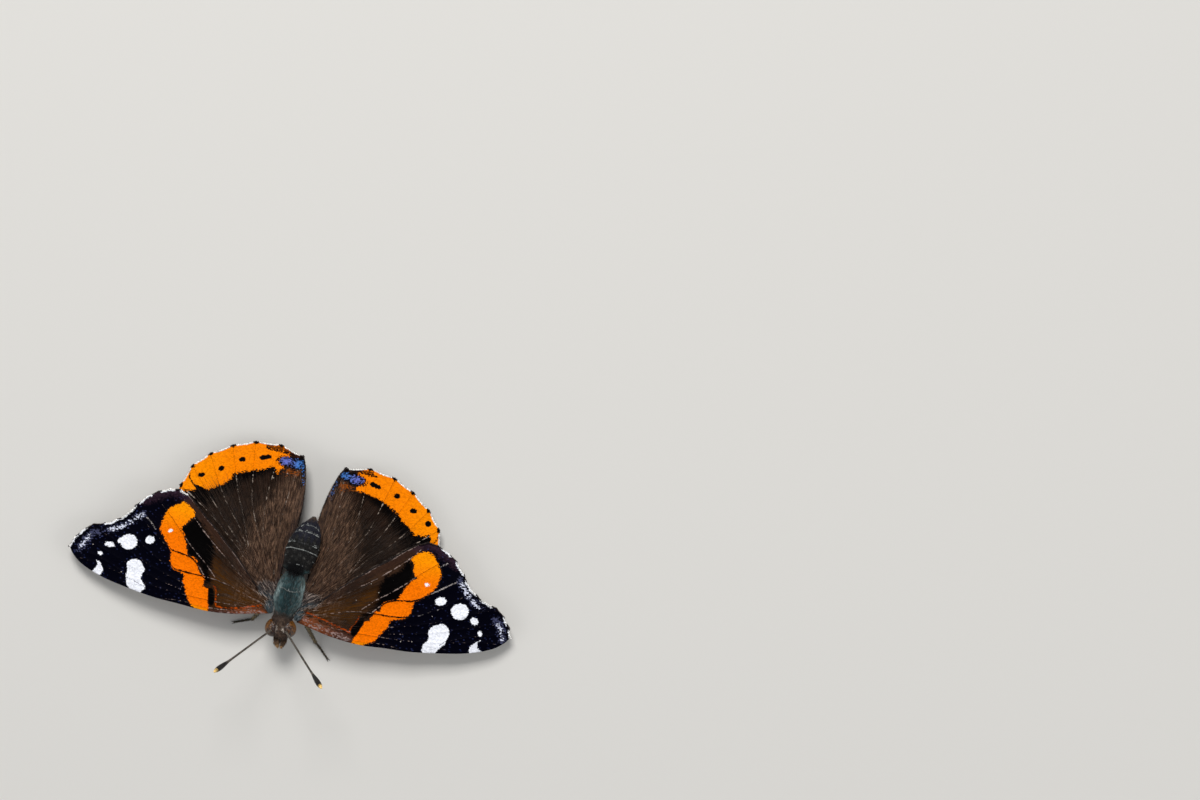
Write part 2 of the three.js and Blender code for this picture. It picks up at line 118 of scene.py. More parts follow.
def curveThrough(knots, perSpan=10):  # a smooth line through all knots
    knots = np.array(knots, float)
    last = len(knots) - 1
    t = np.linspace(0, last, last * perSpan + 1)
    i = np.minimum(t.astype(int), last - 1)
    before, here = knots[np.maximum(i - 1, 0)], knots[i]
    there, after = knots[i + 1], knots[np.minimum(i + 2, last)]
    w = (t - i)[:, None]
    out, into = (there - before) / 2, (after - here) / 2
    return ((2 * here - 2 * there + out + into) * w ** 3
            + (3 * there - 3 * here - 2 * out - into) * w ** 2 + out * w + here)


def bow(start, middle, end, count=24):
    t = np.linspace(0, 1, count)[:, None]
    return (1 - t) ** 2 * np.array(start) + 2 * t * (1 - t) * np.array(middle) + t ** 2 * np.array(end)


def lengthsAlong(path):
    return np.append(0, np.cumsum(np.linalg.norm(np.diff(path, axis=0), axis=1)))


def respaced(path, step):
    lengths = lengthsAlong(path)
    at = np.linspace(0, lengths[-1], max(2, round(lengths[-1] / step)) + 1)
    return np.column_stack([np.interp(at, lengths, column) for column in path.T])


def radiiAlong(path, stops):  # radii at shares of a path's length
    lengths = lengthsAlong(path)
    return np.interp(lengths / lengths[-1], *zip(*stops))


def spotDistance(points, spots):
    return np.min([np.hypot(*(points - spot).T) for spot in spots], axis=0)


def pathDistance(points, path):
    least = np.full(len(points), np.inf)
    for a, b in zip(path[:-1], path[1:]):
        ab = b - a
        t = np.clip((points - a) @ ab / max(ab @ ab, 1e-12), 0, 1)
        least = np.minimum(least, np.linalg.norm(points - a - t[:, None] * ab, axis=1))
    return least


def outlineDistance(points, outline):  # more than 0 inside
    ring = np.vstack((outline, outline[:1]))
    odd = np.zeros(len(points), bool)
    for (ax, ay), (bx, by) in zip(ring[:-1], ring[1:]):
        crosses = (ay > points[:, 1]) != (by > points[:, 1])
        odd ^= crosses & (points[:, 0] < ax + (points[:, 1] - ay) * (bx - ax) / ((by - ay) or 1e-12))
    return np.where(odd, 1, -1) * pathDistance(points, ring)


def ovalDistance(points, middle, half, turn=0):  # more than 0 inside
    x, y = turned(*(points - middle).T, -turn)
    return (1 - np.hypot(x / half[0], y / half[1])) * min(half)


# Shapes: points in millimetres, faces, and for each face its corners on the unwrap

def tube(path, radii, around=12, strip=(0, 1)):
    path = np.asarray(path, float)
    radii = np.broadcast_to(radii, len(path))
    tangents = unit(np.gradient(path, axis=0))
    side = np.cross(tangents[0], (0, 0, 1) if abs(tangents[0][2]) < 0.9 else (1, 0, 0))
    angles = np.arange(around) * 2 * math.pi / around
    rows = [path[:1]]
    for place, along, radius in zip(path, tangents, radii):
        side = side - along * (side @ along)
        side /= np.linalg.norm(side)
        up = np.cross(side, along)
        rows.append(place + radius * (np.outer(np.cos(angles), side) + np.outer(np.sin(angles), up)))
    rows.append(path[-1:])
    return closedRows(rows, around, strip)


def closedRows(rows, around, strip=(0, 1)):  # rows of points round an axis, between two end points
    points = np.vstack(rows)
    last = len(points) - 1
    count = len(rows) - 2
    faces, corners = [], []
    for i in range(around):
        j = (i + 1) % around
        u = [strip[0] + (strip[1] - strip[0]) * k / around for k in (i, i + 1)]
        faces.append((0, 1 + j, 1 + i))
        corners.append(((u[0], 0), (u[1], 0), (u[0], 0)))
        for k in range(count - 1):
            a, b = 1 + k * around, 1 + (k + 1) * around
            v = [0.001 + 0.998 * m / (count - 1) for m in (k, k + 1)]
            faces.append((a + i, a + j, b + j, b + i))
            corners.append(((u[0], v[0]), (u[1], v[0]), (u[1], v[1]), (u[0], v[1])))
        faces.append((last, last - around + i, last - around + j))
        corners.append(((u[0], 1), (u[0], 1), (u[1], 1)))
    return outward({"points": points, "faces": faces, "corners": corners})


def joined(shapes):
    starts = np.cumsum([0] + [len(shape["points"]) for shape in shapes])
    faces = [tuple(int(start) + i for i in face)
             for start, shape in zip(starts, shapes) for face in shape["faces"]]
    return {"points": np.vstack([shape["points"] for shape in shapes]), "faces": faces,
            "corners": [corner for shape in shapes for corner in shape["corners"]]}


def outward(shape):  # turns every face of a closed shape that is inside out
    p = shape["points"]
    volume = sum(p[face[0]] @ np.cross(p[face[i]], p[face[i + 1]])
                 for face in shape["faces"] for i in range(1, len(face) - 1))
    if volume < 0:
        for key in ("faces", "corners"):
            shape[key] = [around[::-1] for around in shape[key]]
    return shape


def egg(middle, half, turn=0, rows=20, around=28):  # a closed egg along Y, turned about Z
    t = -np.cos(math.pi * np.linspace(0, 1, rows + 2)[1:-1])
    angles = np.arange(around) * 2 * math.pi / around
    rings = [np.column_stack((half[0] * share * np.cos(angles), np.full(around, half[1] * y),
                              half[2] * share * np.sin(angles))) for y, share in zip(t, np.sqrt(1 - t * t))]
    shape = closedRows([[(0, -half[1], 0)], *rings, [(0, half[1], 0)]], around)
    x, y, z = shape["points"].T
    shape["points"] = np.column_stack((*turned(x, y, turn), z)) + middle
    return shape


def storeValues(mesh, values):
    for name, value in values.items():
        kind, field = ("FLOAT", "value") if np.ndim(value) == 1 else ("FLOAT_VECTOR", "vector")
        mesh.attributes.new(name, kind, "POINT").data.foreach_set(field, np.ravel(value).astype(np.float32))


def linked(name, data):
    made = bpy.data.objects.new(name, data)
    bpy.context.scene.collection.objects.link(made)
    return made


def makePiece(name, shape, materials, values, metres=True, faceMaterials=None):
    mesh = bpy.data.meshes.new(name)
    places = toMetres(shape["points"]) if metres else shape["points"]
    mesh.from_pydata([tuple(p) for p in places], [], shape["faces"])
    unwrap = mesh.uv_layers.new(name="skinUV")
    unwrap.data.foreach_set("uv", [c for corner in shape["corners"] for uv in corner for c in uv])
    for material in materials:
        mesh.materials.append(material)
    if faceMaterials is not None:
        mesh.polygons.foreach_set("material_index", faceMaterials)
    storeValues(mesh, values)
    mesh.shade_smooth()
    mesh.validate()
    return linked(name, mesh)


def settle(piece, slotName, *nodes):
    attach(piece, "root")
    if nodes:
        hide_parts(*nodes)
    print(f"  {piece.name}: {sum(len(p.vertices) - 2 for p in piece.data.polygons)} triangles")


# Finishes

def newFinish(name, build, *settings):  # build gives what the shader's sockets take
    material = bpy.data.materials.new(name)
    material.use_nodes = True
    material.node_tree.nodes.clear()
    node = partial(addNode, material.node_tree)
    node("OutputMaterial", {"Surface": node("BsdfPrincipled", build(node, *settings))})
    return material


def ownFrame(node):  # millimetres in the animal's own frame
    place = node("TexCoord").outputs["Object"]
    return node("Mapping", {"Vector": place, "Location": [-c / mm for c in zero], "Scale": [1 / mm] * 3})


# A look has two ground colours and its layers of markings. A layer says what its distance is stored as,
# its colour (or two, and what picks between them), how soft and how ragged its edge is, and how much it
# covers. The edge lies where the stored distance is 0, and is torn scale by scale.
def addLayers(node, colour, tear, layers):
    for mark, tint, soft, ragged, cover in layers:
        distance = node("Attribute", attribute_name=mark).outputs["Fac"]
        torn = node("Math", (tear, ragged, distance), operation="MULTIPLY_ADD")
        mask = node("MapRange", {"Value": torn, "From Min": -soft, "From Max": soft, "To Max": cover})
        if isinstance(tint, str):
            tint = linear(tint)
        else:
            pick = node("Attribute", attribute_name=tint[2]).outputs["Fac"]
            tint = node("Mix", {0: pick, 6: linear(tint[0]), 7: linear(tint[1])}, data_type="RGBA")
        colour = node("Mix", {0: mask, 6: colour, 7: tint}, data_type="RGBA")
    return colour


# Scales on a wing: rows of flat scales about 0.1 mm wide, so colours end in a ragged row of tiles and
# the light catches them as a dull satin. Each scale is drawn 0.16 mm wide, the finest that shows.
def wingScales(node, look):
    place = ownFrame(node)
    tiles = node("Mapping", {"Vector": place, "Rotation": (0, 0, math.radians(look["rowTurn"])),
                             "Scale": (1 / 0.22, 1 / 0.15, 1)})
    scales = node("TexVoronoi", {"Vector": tiles, "Scale": 1, "Randomness": 0.75})
    pick = node("SeparateColor", [scales.outputs["Color"]])
    tear = node("Math", (pick, 0.5), operation="SUBTRACT")

    # hairs and rows of scales run out from the hinge, so the ground is streaked that way
    along, across, black, orange = (node("Attribute", attribute_name=name).outputs["Fac"]
                                    for name in ("along", "across", "black", "orange"))
    flow = node("CombineXYZ", (across, along))
    fine = node("VectorMath", (flow, (11, 0.3, 1)), operation="MULTIPLY")
    broad = node("VectorMath", (flow, (1.7, 0.1, 1)), operation="MULTIPLY")
    hairs = node("TexNoise", {"Vector": fine, "Scale": 1, "Detail": 3, "Roughness": 0.65})
    swathes = node("TexNoise", {"Vector": broad, "Scale": 1, "Detail": 2})
    both = node("Math", (hairs, 1.3, swathes), operation="MULTIPLY_ADD")
    streak = node("MapRange", {"Value": both, "From Min": 0.98, "From Max": 1.4})
    dark, light = map(linear, look["ground"])
    colour = node("Mix", {0: streak, 6: dark, 7: light}, data_type="RGBA")
    if "marbling" in look:  # the hidden side is clouded in browns, which hides a resting animal
        clouds = node("TexNoise", {"Vector": place, "Scale": 0.55, "Detail": 5, "Roughness": 0.62,
                                   "Distortion": 1.6})
        ramp = node("ValToRGB", [clouds])
        stops = ramp.color_ramp.elements
        while len(stops) < len(look["marbling"]):
            stops.new(0.5)
        for stop, (at, tone) in zip(stops, look["marbling"]):
            stop.position = at
            stop.color = linear(tone)
        colour = node("Mix", {0: look["clouded"], 6: colour, 7: ramp}, data_type="RGBA")
    colour = addLayers(node, colour, tear, look["layers"])

    # each scale is a little lighter or darker than the next
    lightness = node("MapRange", {"Value": pick.outputs[1], "To Min": 0.8, "To Max": 1.14})
    varied = node("HueSaturation", {"Color": colour, "Value": lightness, "Saturation": 1.03})
    # loose scales and pollen lie about as single pale specks, but not on black and orange
    dust = node("TexVoronoi", {"Vector": place, "Scale": 0.62, "Randomness": 1})
    rare = node("Math", (node("SeparateColor", [dust.outputs["Color"]]), 0.56), operation="GREATER_THAN")
    speck = node("Math", (dust, 0.05), operation="LESS_THAN")
    onMark = node("Math", (black, orange), operation="MAXIMUM")
    plain = node("Math", (onMark, -0.2), operation="LESS_THAN")
    loose = node("Math", (node("Math", (rare, speck), operation="MULTIPLY"), plain), operation="MULTIPLY")
    dusted = node("Mix", {0: loose, 6: varied, 7: linear("#b9b0a6")}, data_type="RGBA")
    rough = node("MapRange", {"Value": pick.outputs[2], "To Min": 0.5, "To Max": 0.72})
    relief = node("Math", (scales, -0.6, hairs), operation="MULTIPLY_ADD")
    bump = node("Bump", {"Height": relief, "Strength": 0.5, "Distance": 0.05 * mm})
    return {"Base Color": dusted, "Roughness": rough, "Normal": bump, "Specular IOR Level": 0.02,
            "Sheen Weight": 0.008, "Sheen Roughness": 0.4, "Sheen Tint": linear("#b9aab4")}


# A coat of hairs or scales, and the skin beneath it: combed streaks of two tones, each scale and each
# tuft a little lighter or darker than the next
def coat(node, look, scaleSize=0.12, roughness=0.6, gleam=0.12):
    place = ownFrame(node)
    scales = node("TexVoronoi", {"Vector": place, "Scale": 1 / scaleSize})
    pick = node("SeparateColor", [scales.outputs["Color"]])
    tear = node("Math", (pick, 0.5), operation="SUBTRACT")
    combed = node("VectorMath", (place, (5, 0.8, 5)), operation="MULTIPLY")
    strands = node("TexNoise", {"Vector": combed, "Scale": 1, "Detail": 3})
    tone = node("MapRange", {"Value": strands, "From Min": 0.35, "From Max": 0.68})
    dark, light = map(linear, look["ground"])
    colour = node("Mix", {0: tone, 6: dark, 7: light}, data_type="RGBA")
    colour = addLayers(node, colour, tear, look.get("layers", ()))
    lightness = node("MapRange", {"Value": pick.outputs[1], "To Min": 0.72, "To Max": 1.3})
    varied = node("HueSaturation", {"Color": colour, "Value": lightness})
    own = node("Attribute", attribute_name="tuftTone").outputs["Fac"]  # 0 on skin, 0.5 to 1.5 on hair
    paler = node("MapRange", {"Value": own, "From Min": 0.5, "From Max": 1.5, "To Min": 0.6, "To Max": 1.65})
    isHair = node("Math", (own, 0.25), operation="GREATER_THAN")
    gain = node("Mix", {0: isHair, 2: 0.8, 3: paler}, data_type="FLOAT")
    toned = node("HueSaturation", {"Color": varied, "Value": gain})
    relief = node("Math", (strands, scales), operation="SUBTRACT")
    bump = node("Bump", {"Height": relief, "Strength": 0.6, "Distance": 0.04 * mm})
    return {"Base Color": toned, "Normal": bump, "Roughness": roughness, "Specular IOR Level": gleam,
            "Sheen Weight": gleam * 0.4, "Sheen Roughness": 0.4}


# Markings in the photo's pixels. A mark is made of outlines [points], ovals (middle, half sizes, turn)
# and lines (points, half width).
photo = {"perMm": 6.9, "origin": (289.5, 595), "turn": 16}
forewingMarks = {
    "right": {
        "bandOut": [(183, 502), (170, 508), (165, 514), (161, 523), (160, 530), (163, 536), (170, 548),
                    (171, 554), (170, 560), (173, 568), (181, 572.5), (184, 575), (183, 580), (186, 592),
                    (190, 603), (193, 606), (200, 611.5), (208, 612.5)],
        "bandIn": [(183, 502), (188, 505), (194.5, 513), (193, 517), (188, 521), (181, 529), (184, 534),
                   (186.5, 546), (188, 555), (193, 557), (197, 560), (199, 572), (204, 577), (204.5, 583),
                   (203, 586), (208, 588), (208.5, 600), (208, 612.5)],
        "beyond": [(208, 640), (40, 640), (40, 470), (192, 470), (195, 492)],
        "fringe": [((66, 546), (70, 541)), ((71, 539.5), (74, 537)), ((77, 533), (83, 529.5)),
                   ((104, 524), (116, 520)), ((121, 519), (135.5, 508.5)), ((140, 503), (151, 496)),
                   ((161.5, 492), (174.5, 488.5)), ((181, 489), (193, 494))],
        "marks": {
            "patch": [[(196, 517), (189, 523), (181, 528), (182, 534), (187, 544), (188, 555), (199, 561),
                       (202, 574), (206, 584), (212, 582), (210, 574), (212, 567), (214, 557), (215, 549),
                       (213, 540), (207, 532), (203, 524)]],
            "cell": [[(216, 604), (213, 588), (212, 574), (216, 560), (228, 572), (245, 588), (262, 604)]],
            "costal": [[(209, 609), (235, 609), (262, 607), (264, 618), (209, 619)]],
            "rust": [([(214.5, 585), (217, 592), (216, 601), (219, 606.5), (240, 607.5), (262, 604.5)],
                      0.65)],
            "black": [[(209, 588), (213, 588), (214.5, 592), (215, 600), (213, 604.5), (209.5, 604),
                       (208.5, 598)]],
            "white": [[(126, 563), (128, 561), (133, 559), (138, 560), (141, 563), (143, 567), (144, 570),
                       (142, 574), (140, 577), (141, 581), (144, 585), (144, 589), (140, 592), (138, 594),
                       (134, 592), (129, 590), (126, 583), (125, 576), (126, 570)],
                      [(95, 560), (99, 563), (101, 568), (101.5, 571), (97, 575.5), (90, 573), (94, 568),
                       (96, 564)], ((127.8, 542), (8.8, 7.6), 0), ((121, 541), (4, 3), 0),
                      ((108.5, 544.5), (5, 2.6), 12), ((98.5, 553.5), (2.2, 2), 0),
                      ((149.5, 540), (5, 3.8), -8), ((170, 531), (2.3, 1.7), 0)],
            "fleck": [([(107, 530), (115, 528), (123, 526), (134, 519), (143, 515)], 1.4),
                      ([(78, 549), (83, 541), (90, 534), (97, 532)], 2.2)],
            "fleckCore": [([(109, 529.5), (117, 528), (125, 525)], 0.9),
                          ([(129, 522), (136, 518), (142, 515)], 0.9),
                          ([(79, 547), (83, 541), (88, 536)], 0.7)],
            "whiteVein": [([(124, 577), (133, 581), (147, 588)], 0.4)],
            "apexVein": [([(146, 517.5), (151, 523), (155, 529)], 0.4),
                         ([(133.5, 542), (144, 553.4)], -0.15)],
        },
    },
    "left": {
        "bandOut": [(424, 552), (430, 553.5), (435, 558), (439, 568), (441, 575), (437, 586), (433, 591),
                    (421, 599), (414, 602), (411, 612), (407, 617), (402, 619.5), (391.5, 620), (388, 627),
                    (379, 635.5), (373, 642), (366, 643.5), (360, 646), (352, 643)],
        "bandIn": [(424, 552), (417, 554.5), (411, 559.5), (414, 562), (414.5, 566), (413, 571), (415, 576),
                   (418, 578.5), (412, 581), (404, 590), (397, 600), (385, 602), (380, 611), (375, 612),
                   (370, 620), (364, 623), (361, 628), (354, 637.5), (352, 643)],
        "beyond": [(345, 668), (540, 668), (540, 520), (425, 520), (420, 545)],
        "fringe": [((513.5, 641), (511.5, 632)), ((510, 623), (506, 619.5)), ((492, 605), (482, 599)),
                   ((478, 592), (470, 581)), ((469, 570), (462.7, 561)), ((454.5, 552), (445, 547))],
        "marks": {
            "patch": [[(409, 561), (414, 568), (413.5, 577), (406, 586), (401, 596), (399, 602), (387, 603),
                       (381, 609), (372, 614), (368, 617), (362, 615), (374, 608), (379, 599), (378, 593),
                       (381, 584), (386, 576), (394, 574), (401, 570), (406, 562)]],
            "cell": [[(356, 622), (362, 610), (372, 600), (377, 590), (360, 594), (335, 603), (312, 612),
                      (335, 620)]],
            "costal": [[(303, 613), (325, 624), (352, 636), (350, 646), (328, 637), (303, 625)]],
            "rust": [([(359.5, 616), (356.5, 623), (351, 628), (350, 632), (342, 628), (325, 620),
                       (306, 611)], 0.65)],
            "apexVein": [([(431, 594.5), (444, 588.5), (457, 582.3)], 0.45),
                         ([(440.5, 567.5), (448, 563.4)], 0.45),
                         ([(417, 617), (431, 612), (445, 608.5)], -0.15)],
            "black": [[(351, 631), (352.3, 635.3), (356.5, 634.8), (360.5, 628.4), (363.5, 622.5),
                       (364, 617.5), (360.5, 617.5), (357, 622.5), (352.5, 627)]],
            "white": [[(441, 624.5), (445, 626), (448, 629), (449, 633), (448, 637), (446, 640), (445, 644),
                       (441, 647), (436, 652), (430, 656), (424, 656), (421.5, 650), (423, 645), (428, 640),
                       (428, 633), (431, 628), (436, 625.5)],
                      [(481, 641), (477, 645), (478, 650), (482, 655), (470, 655), (469, 649), (474, 644)],
                      ((459.5, 612), (8.7, 8.1), 0), ((474, 622), (4.2, 3.6), 40),
                      ((479.5, 634.5), (2, 2.6), 0), ((440.5, 601.5), (5.7, 4.1), -12),
                      ((427, 585), (2.3, 1.7), 0)],
            "fleck": [([(459, 581), (464, 590), (468, 597), (474, 604), (481, 609)], 1.4),
                      ([(496, 622), (501, 633), (502, 646)], 2.2)],
            "fleckCore": [([(461, 584), (465, 591), (469, 598)], 0.9),
                          ([(472, 602), (475, 605), (479, 608)], 0.9),
                          ([(498, 626), (501, 633), (501.5, 641)], 0.7)],
            "whiteVein": [([(418, 650), (432, 650), (446, 641)], 0.35)],
        },
    },
}
hindwingMarks = {
    "right": {
        "bandEdge": [(13.2, 11.4), (12.2, 11.8), (11.6, 12.4), (10.5, 13.3), (10, 14), (10, 14.6),
                     (8.9, 15.1), (7.7, 15.7), (6.5, 16.1), (5.4, 16.6), (4.6, 17.2), (3.7, 16.3)],
        "marks": {
            "black": [((200, 475), (3.8, 2.2), -10), ((220, 468.5), (3.4, 2.6), -20),
                      ((241, 459.5), (3.7, 2.3), 0), ((262, 457.8), (3.6, 2.6), 0),
                      ((267, 457), (4.2, 2.2), -5), ((264.5, 457.5), (4, 2.3), 0)],
            "blue": [((285.5, 461.5), (5.6, 3.6), 8), ((297.5, 464), (6.4, 4.2), 0),
                     ((304.5, 478), (1.9, 7), -4)],
            "rim": [([(266, 447.5), (277, 450.5), (288, 454), (299, 457), (305, 462)], 1.1)],
            "rimRust": [([(268, 446), (280, 449), (292, 453), (303, 459)], 2.6)],
            "dusting": [((294, 471.5), (7, 2.4), 0)],
        },
    },
    "left": {
        "bandEdge": [(15, 13.4), (14.3, 12.9), (13, 12.7), (12.3, 13.1), (11.7, 13.7), (10.6, 14.2),
                     (9.8, 15), (8.9, 15.5), (7.8, 16), (6.4, 16.5), (5.2, 16.7), (3.9, 16.9), (2.9, 16.8)],
        "marks": {
            "black": [((372.5, 484.8), (3.4, 2.6), 30), ((375, 486), (3.4, 2.3), 25),
                      ((377.5, 487.3), (3.4, 2.1), 20), ((396.5, 496.5), (3.1, 2.6), 0),
                      ((412.5, 511.5), (3.6, 2.7), 10), ((427.5, 524.5), (3.2, 3), 0)],
            "blue": [((344.5, 475.5), (4.8, 3.4), 25), ((355.5, 480), (6.4, 3.9), 15),
                     ((333.5, 488), (1.7, 7), 18)],
            "rim": [([(339, 471), (347, 468.5), (356, 471.5), (367, 474.5), (376, 477)], 1.1)],
            "rimRust": [([(341, 468.5), (350, 467.5), (361, 471), (371, 474)], 2.4)],
            "dusting": [((343, 486.5), (6.5, 2.6), 0)],
        },
    },
}


def photoPixels(spots):  # where places on the animal fall in the photo
    x, y = turned(*spots.T, -photo["turn"])
    left, top = photo["origin"]
    return np.column_stack((left + photo["perMm"] * x, top - photo["perMm"] * y))


def markDistance(pixels, mark):  # millimetres inside the nearest part of a mark
    found = []
    for part in mark:
        if isinstance(part, list):
            found.append(outlineDistance(pixels, curveThrough(part + part[:1], 3)[:-1]))
        elif len(part) == 2:
            found.append(part[1] - pathDistance(pixels, curveThrough(part[0], 4)))
        else:
            found.append(ovalDistance(pixels, *part))
    return np.max(found, axis=0) / photo["perMm"]


# Wings. Margins and veins are splines through points (u, v) in the wing's own plane:
# u runs from the hinge towards the tip and v towards the tail.
sheet = {"z": 5.4, "slope": 0.075, "bow": 0.0012, "tailFrom": 2, "tailDroop": 0.005}
fineWing = {"drawIn": 0.24, "outlineStep": 0.16, "grid": 0.23, "rowShare": 0.866, "veinStep": 0.26,
            "veinRows": (0, -0.09, 0.09, -0.2, 0.2), "closest": 0.07, "thick": 0.12, "rimThick": 0.05,
            "ridge": 0.09, "ridgeWidth": 0.1, "pleat": 0.07, "unwrapSize": 40}
forewing = {
    "base": (2.9, -2.4), "sweep": {"right": 0.4, "left": 9.7}, "lift": 0.55, "scallop": 0.12,
    "flowFrom": (-2.5, -0.6), "root": (-0.6, 0.0), "nearLift": -0.3,
    "costa": [(-0.6, -1.3), (1, -1.7), (4, -2.65), (8, -3.4), (12, -3.55), (16, -3.7), (20, -3.5),
              (24, -3.1), (27.4, -2.2), (29.4, -1.0), (30.3, 0.1)],
    "outer": [(30.3, 0.1), (29.9, 1.5), (28.9, 3.1), (27.6, 4.3), (26.0, 4.95), (24.6, 5.9), (23.4, 7.1),
              (22.5, 8.6), (21.2, 10.4), (19.8, 11.6), (18.2, 12.45), (16.7, 12.8), (15.4, 12.4)],
    "inner": [(15.4, 12.4), (13.4, 11.1), (11.6, 9.8), (9.6, 8.5), (7.7, 7.1), (5.9, 5.8), (3.5, 3.8),
              (1.4, 2.1), (-0.6, 1.2)],
    "veins": {
        "subcosta": [(-0.3, -0.85), (4, -1.9), (8, -2.6), (12, -2.8), (15.8, -3.5)],
        "radius": [(-0.3, -0.4), (4, -1.1), (8, -1.55), (12, -1.8), (16, -1.9), (20, -1.7), (25, -1.2),
                   (28.9, -1.1)],
        "radius3": [(16, -1.9), (19.5, -2.45), (23.5, -3.0)],
        "radius5": [(20, -1.7), (25, -0.3), (30.0, 0.35)],
        "crossVein": [(12.5, -1.8), (12.4, -0.4), (12.2, 1.4)],
        "media1": [(12.45, -1.2), (17, -0.7), (22, 0.35), (26, 1.3), (29.4, 2.1)],
        "media2": [(12.4, -0.2), (17, 0.6), (22, 2.1), (25.5, 3.3), (28.0, 3.8)],
        "cubitus": [(-0.3, 0.1), (3.4, 0.8), (6.1, 1.4), (8.2, 1.6), (10.3, 1.5), (13.8, 1.4), (17, 2.1),
                    (20, 3.5), (24.0, 6.2)],
        "cubitus1": [(9.6, 1.55), (11.2, 3.0), (12.5, 3.65), (13.9, 3.8), (15.7, 4.0), (18, 5.2),
                     (20.8, 7.0), (22.2, 8.6)],
        "cubitus2": [(7.8, 1.6), (10, 3.4), (12, 4.7), (13.9, 6.1), (16.2, 8.0), (18.4, 9.6), (20.2, 11.1)],
        "anal": [(-0.3, 0.5), (3.2, 2.3), (5.7, 3.9), (7.7, 5.2), (9.9, 6.6), (12, 8.1), (13.8, 9.5),
                 (15.3, 10.9), (16.5, 12.5)],
    },
}
hindwing = {
    "base": (2.5, 0.2), "sweep": {"right": -1.5, "left": 1.5}, "lift": -0.55, "scallop": 0.25,
    "flowFrom": (-1.6, -2.6), "root": (-0.6, 0.2), "nearLift": 0.3,
    "costa": [(-0.6, -0.9), (2, -1.3), (5, -0.6), (9, 2.0), (13, 5.2), (15.8, 7.8), (17.0, 9.5),
              (17.3, 11.2)],
    "outer": [(17.3, 11.2), (16.3, 14.4), (14.1, 16.85), (11.2, 18.85), (8.0, 20.2), (4.2, 20.65),
              (0.6, 19.85)],
    "inner": [(0.6, 19.85), (-0.1, 18.4), (-0.6, 16.5), (-1.0, 14.5), (-1.25, 12.0), (-1.25, 9.0),
              (-1.0, 6.0), (-0.7, 3.4), (-0.6, 1.3)],
    "beyondBand": [(3.0, 17.4), (2.4, 18.8), (3.2, 22.5), (10, 23), (17, 19), (20, 13), (19, 10),
                   (16, 10.6)],
    "blackTongue": [(13.2, 10.9), (15.0, 11.6), (16.0, 12.6), (16.3, 14.0)],
    "veins": {
        "subcosta": [(-0.3, -0.4), (4, 0.5), (9, 3.4), (13.5, 6.7), (16.5, 9.2)],
        "radius": [(-0.3, 0.1), (2.8, 1.5), (4.5, 3.0), (8, 5.6), (12, 8.4), (17.0, 11.2)],
        "media1": [(4.5, 3.0), (8, 6.6), (12, 10.3), (16.1, 14.3)],
        "media2": [(4.5, 3.0), (5.2, 4.8), (7.5, 8.0), (9.2, 9.7), (11.5, 12.7), (14.0, 16.7)],
        "media3": [(5.0, 5.0), (7.2, 9.7), (8.6, 12.4), (11.1, 18.7)],
        "cubitus1": [(-0.3, 0.6), (1.8, 2.8), (2.8, 5.0), (3.8, 6.6), (5.7, 10.3), (6.6, 12.9), (8.0, 20.0)],
        "cubitus2": [(2.8, 5.0), (3.6, 8.0), (4.2, 11.5), (4.3, 15.0), (4.2, 20.5)],
        "anal": [(0.3, 1.5), (1.1, 6.0), (1.4, 12.0), (0.8, 19.5)],
    },
}


def onBody(spots, wing, where):  # from the wing's plane to the animal's own frame, seen from above
    x, y = turned(*spots.T, wing["sweep"][where])
    return np.column_stack((sides[where] * (wing["base"][0] + x), wing["base"][1] + y))


def sheetHeight(spots):
    aside, y = np.abs(spots[:, 0]), spots[:, 1]
    behind = np.maximum(0, y - sheet["tailFrom"])
    return sheet["z"] - sheet["slope"] * aside - sheet["bow"] * aside ** 2 - sheet["tailDroop"] * behind ** 2


def outerMargin(wing):  # drawn in a little between the ends of its veins
    line = curveThrough(wing["outer"], 12)
    draw = wing["scallop"] * np.abs(np.sin(np.linspace(0, (len(wing["outer"]) - 1) * math.pi, len(line))))
    return line + leftOf(np.gradient(line, axis=0)) * draw[:, None]


def veinDistance(spots, wing):
    veins = [respaced(curveThrough(vein), 0.4) for vein in wing["veins"].values()]
    return np.min([pathDistance(spots, vein) for vein in veins], axis=0)


def veinEnds(wing):
    return np.array([vein[-1] for vein in wing["veins"].values()])


def wingMesh(wing):
    # the membrane's points: on its margin, beside each vein, and on a fine grid between them
    ring = np.vstack((curveThrough(wing["costa"])[:-1], outerMargin(wing)[:-1], curveThrough(wing["inner"])))
    ring = respaced(np.vstack((ring, ring[:1])), fineWing["outlineStep"])[:-1]
    ring = ring + leftOf(np.roll(ring, -1, axis=0) - np.roll(ring, 1, axis=0)) * fineWing["drawIn"]
    kept = []
    for vein in wing["veins"].values():
        line = respaced(curveThrough(vein), fineWing["veinStep"])
        kept += [line + leftOf(np.gradient(line, axis=0)) * offset for offset in fineWing["veinRows"]]
    (low, high), step = (ring.min(axis=0), ring.max(axis=0)), fineWing["grid"]
    rows = []
    for k in range(int((high[1] - low[1]) / (step * fineWing["rowShare"]))):
        u = np.arange(low[0] + (k % 2) * step / 2, high[0], step)
        rows.append(np.column_stack((u, np.full(len(u), low[1] + k * step * fineWing["rowShare"]))))
    grid = np.vstack(rows)
    grid = grid[veinDistance(grid, wing) > fineWing["veinRows"][-1] + 0.09]
    points = np.vstack((*kept, grid))
    points = points[outlineDistance(points, ring) > 0.1]
    cells = np.round(points / fineWing["closest"]).astype(int)  # one point in each, as veins meet
    _, first = np.unique(cells, axis=0, return_index=True)
    points = np.vstack((ring, points[np.sort(first)]))
    found = delaunay_2d_cdt([Vector(p) for p in points], [], [list(range(len(ring)))], 1, 1e-6)
    return np.array([tuple(v) for v in found[0]]), [tuple(face) for face in found[2]], ring


